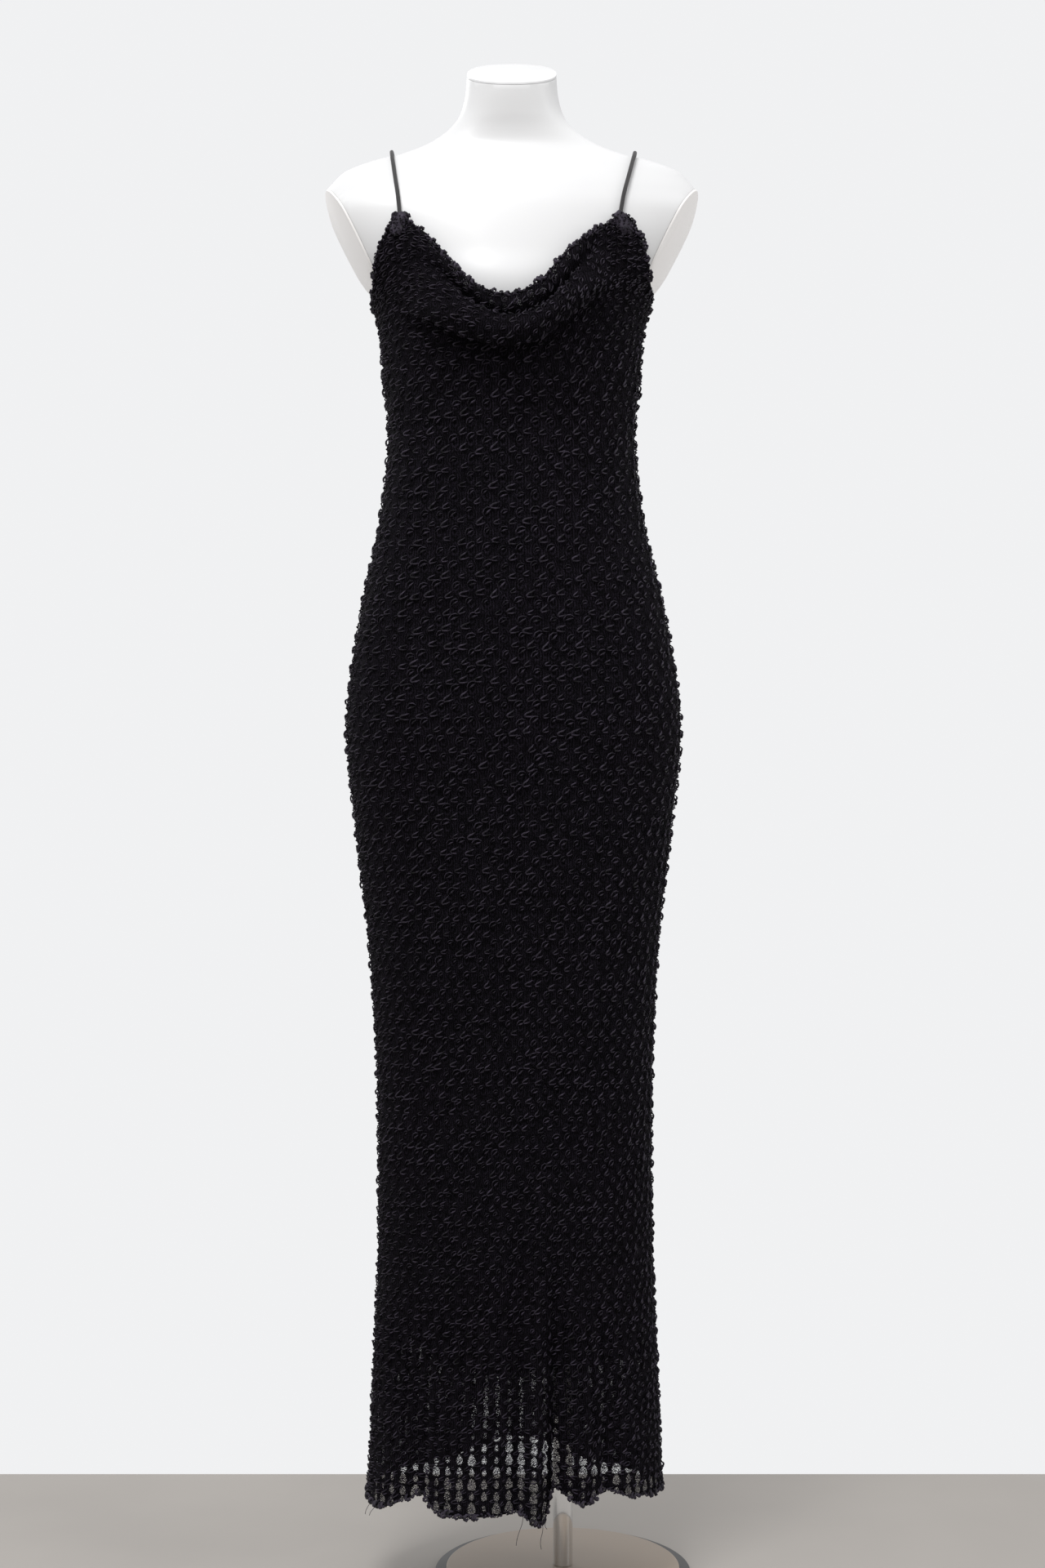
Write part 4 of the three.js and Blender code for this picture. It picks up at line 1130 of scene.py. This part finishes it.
def add_edge_curls(name, edges, spacing):
    parts = []
    for line, inner, out in edges:
        place, forward, away, outward = edge_frames(line, inner, spacing, out)
        chance = rng.random((len(place), 4)) - 0.5
        place = place - away * (CURL_BURY + 2.6 * chance[:, :1]) + forward * 1.5 * chance[:, 1:2] + AXIS
        size = np.ones((len(place), 3)) * (0.95 + 0.5 * chance[:, 2:3] + EDGE_BUMP * (chance[:, 3:] > 0.22))
        parts.append(lay(curl_shape, place, forward, away, outward, size, 5.0 * chance[:, 3]))
    points, faces = join(parts)
    piece = add_piece(name, points, faces, yarn_finish, slot="knit")
    print(name, triangles(piece), "triangles")
    return piece


def panel_edges(side):
    """Hem, top edge and the two upright edges of a panel, each with the line just inside it."""
    grid, out = grids[side], normals_of(grids[side])
    return {
        "hem": (grid[0], grid[2], out[0]), "top": (grid[-1], grid[-3], out[-1]),
        "left": (grid[:, 0], grid[:, 2], out[:, 0]), "right": (grid[:, -1], grid[:, -3], out[:, -1]),
    }


edges = {side: panel_edges(side) for side in grids}
armhole_from = int(np.argmax(grids["front"][:, 0, 2] > UNDERARM))
armholes = [tuple(part[armhole_from:] for part in edges["front"][end]) for end in ("left", "right")]
hems, tops = ([edges[side][end] for side in ("front", "back")] for end in ("hem", "top"))
hem_curls = add_edge_curls("hem_curls", hems, 3.6)
neck_curls = add_edge_curls("neck_curls", [*tops, *armholes], 4.0)

# %% Side seams
SEAM_YARN_DEPTH = 0.9


def seam_line(end):
    """The line between the two panels on one side, from the hem to the underarm."""
    front_edge = grids["front"][:armhole_from, 0 if end < 0 else -1]
    back_edge = grids["back"][:, -1 if end < 0 else 0]
    heights = np.arange(max(front_edge[0, 2], back_edge[0, 2]), UNDERARM, 2.5)
    pick_at = lambda edge: np.stack([np.interp(heights, edge[:, 2], edge[:, k]) for k in range(3)], axis=-1)
    return (pick_at(front_edge) + pick_at(back_edge)) / 2


def add_seam(name, end):
    line = seam_line(end)
    wobble = 0.25 * np.sin(np.arange(len(line)) * 1.9) - SEAM_YARN_DEPTH
    yarn = tube(line + np.array([end, 0, 0]) * wobble[:, None] + AXIS, 0.95, 6)
    rows = np.arange(math.ceil(row_count(line[0, 2])), row_count(line[-1, 2]))
    place = np.stack([np.interp(rows, row_count(line[:, 2]), line[:, k]) for k in range(3)], axis=-1)
    out = np.tile([end, 0.0, 0.0], (len(rows), 1))
    across = np.tile([0.0, float(end), 0.0], (len(rows), 1))
    chance = rng.random((len(rows), 4)) - 0.5
    size = np.array([0.7, 0.8, 1.0]) * (0.95 + 0.6 * chance[:, :1])
    place[:, 2] += 7 * chance[:, 2]
    up = np.tile([0, 0, 1.0], (len(rows), 1))
    place = place + AXIS - out * (0.6 + 1.2 * chance[:, 3:])
    crossings = lay(loop_shape, place, across, up, out, size, 0.8 * chance[:, 1])
    seam = add_piece(name, *join([yarn, crossings]), yarn_finish, slot="knit")
    print(name, len(rows), "crossings,", triangles(seam), "triangles")
    return seam


seam_left = add_seam("seam_left", -1)
seam_right = add_seam("seam_right", 1)

# %% [markdown]
# ### Straps
# Each strap is one thin round cord. It leaves the gathered corner of the front, goes over the shoulder and
# is sewn to the back neckline. Its way is the torso's own surface, moved out, so it lies clear of the shell.

# %% Strap cords
STRAP_RADIUS, STRAP_CLEARANCE = 2.2, 1.9
STRAP_FRONT = {-1: (119, 1471), 1: (112, 1471)}
STRAP_TOP, STRAP_BACK = (131, 1545.5), (92, 1377)
STRAP_SHARES = [0, 0.25, 0.5, 0.72, 0.87, 0.96, 0.995]
STRAP_TUCK_FRONT, STRAP_TUCK_BACK = (0, -1.5, -7.0), (0, 0.8, -9.0)
STRAP_STEPS, STRAP_SIDES = 180, 12


def torso_point(place, height, middle):
    """A point of the torso at a place across, on its front or back, and the way out from it."""
    turns_here = np.linspace(-89.9, 89.9, 1500)
    facing = 1 if middle == 0 else -1
    x = section(TORSO, height, middle + facing * turns_here)[:, 0]
    angle = middle + facing * np.interp(place, x, turns_here)
    up = section(TORSO, height + 0.5, angle) - section(TORSO, height - 0.5, angle)
    across = section(TORSO, height, angle + 0.5) - section(TORSO, height, angle - 0.5)
    return section(TORSO, height, angle), unit(np.cross(across, up))


def strap_path(side):
    points = []
    halves = (STRAP_FRONT[side], 0, STRAP_SHARES), (STRAP_BACK, 180, STRAP_SHARES[::-1])
    for end, middle, shares in halves:
        for share in shares:
            place = side * (end[0] + (STRAP_TOP[0] - end[0]) * share)
            height = end[1] + (STRAP_TOP[1] - end[1]) * share
            point, out = torso_point(place, height, middle)
            points.append(point + out * (STRAP_RADIUS + STRAP_CLEARANCE))
    points[0] = points[0] + np.array(STRAP_TUCK_FRONT)
    points[-1] = points[-1] + np.array(STRAP_TUCK_BACK)
    return smooth_path(points, STRAP_STEPS) + AXIS


def make_cord():
    """A tightly braided cord: two sets of strands cross over it, with painted shade between them."""
    material, tree, shader = new_finish("braided cord", roughness=0.55, sheen_weight=0.15,
                                        sheen_roughness=0.4)
    map_ = add_node(tree, "ShaderNodeTexCoord").outputs["UV"]
    parts = add_node(tree, "ShaderNodeSeparateXYZ", {"Vector": map_}).outputs
    lengthwise = maths(tree, "MULTIPLY", parts["Y"], 3.3)
    around = maths(tree, "MULTIPLY", parts["X"], 6 * 2 * math.pi)
    one = maths(tree, "SINE", maths(tree, "ADD", lengthwise, around))
    other = maths(tree, "SINE", maths(tree, "SUBTRACT", lengthwise, around))
    braid = maths(tree, "MAXIMUM", one, other)
    # painted shade and highlight: the colour follows the braid's height, dark in its grooves, lighter on its
    # crests
    share = spread(tree, braid, (-0.4, 1.0))
    tree.links.new(blend_colours(tree, share, (0.006, 0.0055, 0.006), (0.022, 0.019, 0.021)),
                   shader.inputs["Base Color"])
    add_bump(tree, shader, braid, 0.00025)
    return material


cord_finish = make_cord()


def add_strap(name, side):
    path = strap_path(side)
    points, faces = tube(path, STRAP_RADIUS, STRAP_SIDES)
    strap = add_piece(name + "_cord", points, faces, cord_finish, [name], "strap_cord")
    length = np.concatenate([[0], np.cumsum(np.linalg.norm(np.diff(path, axis=0), axis=1))])
    ring, turn = np.divmod(np.array([corner.vertex_index for corner in strap.data.loops]), STRAP_SIDES)
    wraps = np.stack([turn / STRAP_SIDES, length[ring]], axis=-1)
    for face in strap.data.polygons:
        if face.loop_total == 4:
            corners = list(face.loop_indices)
            if max(wraps[corners, 0]) > 0.9 and min(wraps[corners, 0]) < 0.01:
                for corner in corners:
                    wraps[corner, 0] += 1.0 if wraps[corner, 0] < 0.01 else 0.0
    set_map(strap, "cord", wraps)
    print(strap.name, round(length[-1]), "mm long,", triangles(strap), "triangles")


add_strap("strap_left", -1)
add_strap("strap_right", 1)

# %% [markdown]
# ### Gathered corners
# Where a strap begins, the corner of the front is drawn together and folded over into a small lump. It is a
# short soft body, flattened against the chest, with folds running up it and curls of yarn all over it.

# %% Corners of the neckline
CORNER_HEIGHTS = [0, 0.08, 0.25, 0.45, 0.65, 0.82, 0.94, 1.0]
CORNER_WIDTHS = [1.5, 6.5, 8.2, 8.0, 7.2, 6.8, 5.0, 1.0]
CORNER_DEPTHS = [1.0, 3.6, 4.8, 4.6, 5.0, 4.8, 3.6, 1.0]
CORNER_SIDES, CORNER_RINGS, CORNER_TALL = 36, 26, 25
CORNER_PLACE, CORNER_HEAD = {-1: -119.5, 1: 115.5}, 0.3


def add_corner(name, side, lean):
    """A lumpy body at the top corner of the front panel."""
    edge = grids["front"][:, 0 if side < 0 else -1]
    inner = grids["front"][-1, 5 if side < 0 else COLUMNS - 5]
    top = edge[-1] * 0.45 + inner * 0.55
    top[0] = CORNER_PLACE[side]
    print(name, "lies at", np.round(top, 1))
    foot = top + np.array([-lean, -1.0, -CORNER_TALL * (1 - CORNER_HEAD)])
    head = top + np.array([lean, 0.5, CORNER_TALL * CORNER_HEAD])
    share = np.linspace(0, 1, CORNER_RINGS)[:, None]
    turn = np.linspace(0, 2 * np.pi, CORNER_SIDES, endpoint=False)[None, :]
    width = np.interp(share, CORNER_HEIGHTS, CORNER_WIDTHS)
    depth = np.interp(share, CORNER_HEIGHTS, CORNER_DEPTHS)
    folds = 1 + 0.09 * np.sin(3 * turn + 4 * share + side) + 0.07 * np.sin(7 * turn - 6 * share)
    x, y = width * folds * np.sin(turn), -depth * folds * np.cos(turn)
    spine = foot + (head - foot) * share[..., None]
    body = spine + np.stack([x, y, 0 * x + 1.2 * np.sin(2 * turn + side)], axis=-1)
    out = unit(np.stack([x / width**2, y / depth**2, 0 * x], axis=-1))
    chosen = [(r, k) for r in range(1, CORNER_RINGS - 1, 4) for k in range(2 * (r // 4 % 2), CORNER_SIDES, 4)]
    place = np.array([body[r, k] for r, k in chosen]) + AXIS
    outward = np.array([out[r, k] for r, k in chosen])
    up = np.tile([0.0, 0.0, 1.0], (len(chosen), 1))
    across = unit(np.cross(up, outward))
    chance = rng.random((len(chosen), 2)) - 0.5
    size = np.ones((len(chosen), 3)) * (0.8 + 0.5 * chance[:, :1])
    curls = lay(curl_shape, place - outward * 0.3, -across, np.cross(outward, -across), outward, size,
                5 * chance[:, 1])
    lump = (body.reshape(-1, 3) + AXIS, tube_faces(CORNER_RINGS, CORNER_SIDES))
    corner = add_piece(name, *join([lump, curls]), yarn_finish, slot="knit")
    print(name, triangles(corner), "triangles")
    return corner


corner_left = add_corner("corner_left", -1, 3.5)
corner_right = add_corner("corner_right", 1, -4.5)

# %% [markdown]
# ### Loose ends of yarn
# A few thin ends of yarn hang from the hem. Each is a fine tube that starts in the hem and curls a little
# as it falls. They are part of the hem's yarn, not cords that anyone handles.

# %% Yarn ends
# Side, place across, fall, and how far the end swings sideways.
YARN_ENDS = [
    ["front", -154, 17, -5], ["front", -148, 12, -6], ["front", 8, 34, -6], ["front", 30, 26, 0],
    ["front", 34, 10, 3], ["back", -64, 26, 5], ["back", 52, 18, -4],
]
YARN_END_RADIUS = 0.28


def add_yarn_ends():
    parts = []
    for side, place, fall, swing in YARN_ENDS:
        hem = grids[side][0]
        start = hem[np.argmin(np.abs(hem[:, 0] - place))]
        s = np.linspace(0, 1, 6)
        x, y = swing * s**2 + 1.3 * np.sin(6 * s), 1.2 * np.sin(4 * s)
        steps = start + np.stack([x, y, 3 - (fall + 3) * s], axis=-1)
        parts.append(tube(smooth_path(steps, 16) + AXIS, YARN_END_RADIUS, 5))
    piece = add_piece("yarn_ends", *join(parts), yarn_finish, slot="knit")
    print(len(YARN_ENDS), "loose ends,", triangles(piece), "triangles")
    return piece


yarn_ends = add_yarn_ends()

# %% [markdown]
# ## The cut of the cloth
# The size of each panel as one flat piece is printed, as the cloth has it on the form: its widest row, its
# longest column with the extra that falls in the cowl, and its area. How far the knit is stretched there isn't
# known, so neither the sizes nor the areas are made smaller for it.

# %% Sizes of the panels
def grid_area(grid):
    across, up = np.diff(grid[:-1], axis=1), np.diff(grid[:, :-1], axis=0)
    return float(np.linalg.norm(np.cross(across, up), axis=-1).sum()) * 1e-6


def widest(grid):
    return float(np.linalg.norm(np.diff(grid, axis=1), axis=2).sum(axis=1).max()) * MM


def longest(grid):
    return float(np.linalg.norm(np.diff(grid, axis=0), axis=2).sum(axis=0).max()) * MM


for side, grid in grids.items():
    print(side, "width", round(widest(grid), 3), "length", round(longest(grid), 3),
          "area", round(grid_area(grid), 3))

# %% [markdown]
# ## Floor and light
# The object stands on a plain pale floor in a bright, even studio. The sky gives most of the light. A soft
# light high in front on the left models the yarn. Weaker ones on the right and behind keep the edges clean,
# and a very weak one lies low over the floor, so that the pole has something pale to mirror. The floor ends
# behind the object in a straight edge, where a wall would begin.

# %% Floor
FLOOR_SIZE, FLOOR_END = 24, 0.363
bpy.ops.object.select_all(action="DESELECT")
bpy.ops.mesh.primitive_plane_add(size=FLOOR_SIZE, location=(0, FLOOR_END - FLOOR_SIZE / 2, 0))
floor = bpy.context.active_object
floor.name = "floor"
floor.data.materials.append(make_smooth_finish("plain pale floor", (0.29, 0.27, 0.25), (0.37, 0.345, 0.32),
                                               (0.75, 0.85), 3.0, 0.00005))


# %% Lights
def add_soft_light(name, place, target, size, power):
    light = bpy.data.objects.new(name, bpy.data.lights.new(name, "AREA"))
    bpy.context.scene.collection.objects.link(light)
    light.data.shape = "RECTANGLE"
    light.data.size, light.data.size_y = size
    light.data.energy = power
    light.location = place
    light.rotation_euler = (Vector(target) - Vector(place)).to_track_quat("-Z", "Y").to_euler()
    print(name, "light,", power, "W")


SKY_COLOUR, SKY_STRENGTH = (0.875, 0.88, 0.89, 1), 1.0
sky = bpy.data.worlds.new("studio")
bpy.context.scene.world = sky
sky.use_nodes = True
sky.node_tree.nodes["Background"].inputs["Color"].default_value = SKY_COLOUR
sky.node_tree.nodes["Background"].inputs["Strength"].default_value = SKY_STRENGTH
bpy.context.scene.view_settings.view_transform = "Standard"
add_soft_light("front", (-0.7, -1.5, 3.5), (-0.05, 0, 1.1), (1.1, 1.1), 58)
add_soft_light("right", (2.4, -1.0, 2.0), (-0.05, 0, 0.9), (0.8, 2.4), 12)
add_soft_light("low", (-0.34, -0.6, 0.3), (-0.34, -0.601, 0), (0.7, 0.5), 0.7)
add_soft_light("back", (-1.8, 2.6, 2.6), (-0.05, 0, 0.9), (1.6, 1.6), 20)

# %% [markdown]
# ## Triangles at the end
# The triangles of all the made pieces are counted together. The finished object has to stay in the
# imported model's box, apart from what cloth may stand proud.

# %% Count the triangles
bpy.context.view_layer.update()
print("triangles in all:", sum(triangles(piece) for piece in made.values()))
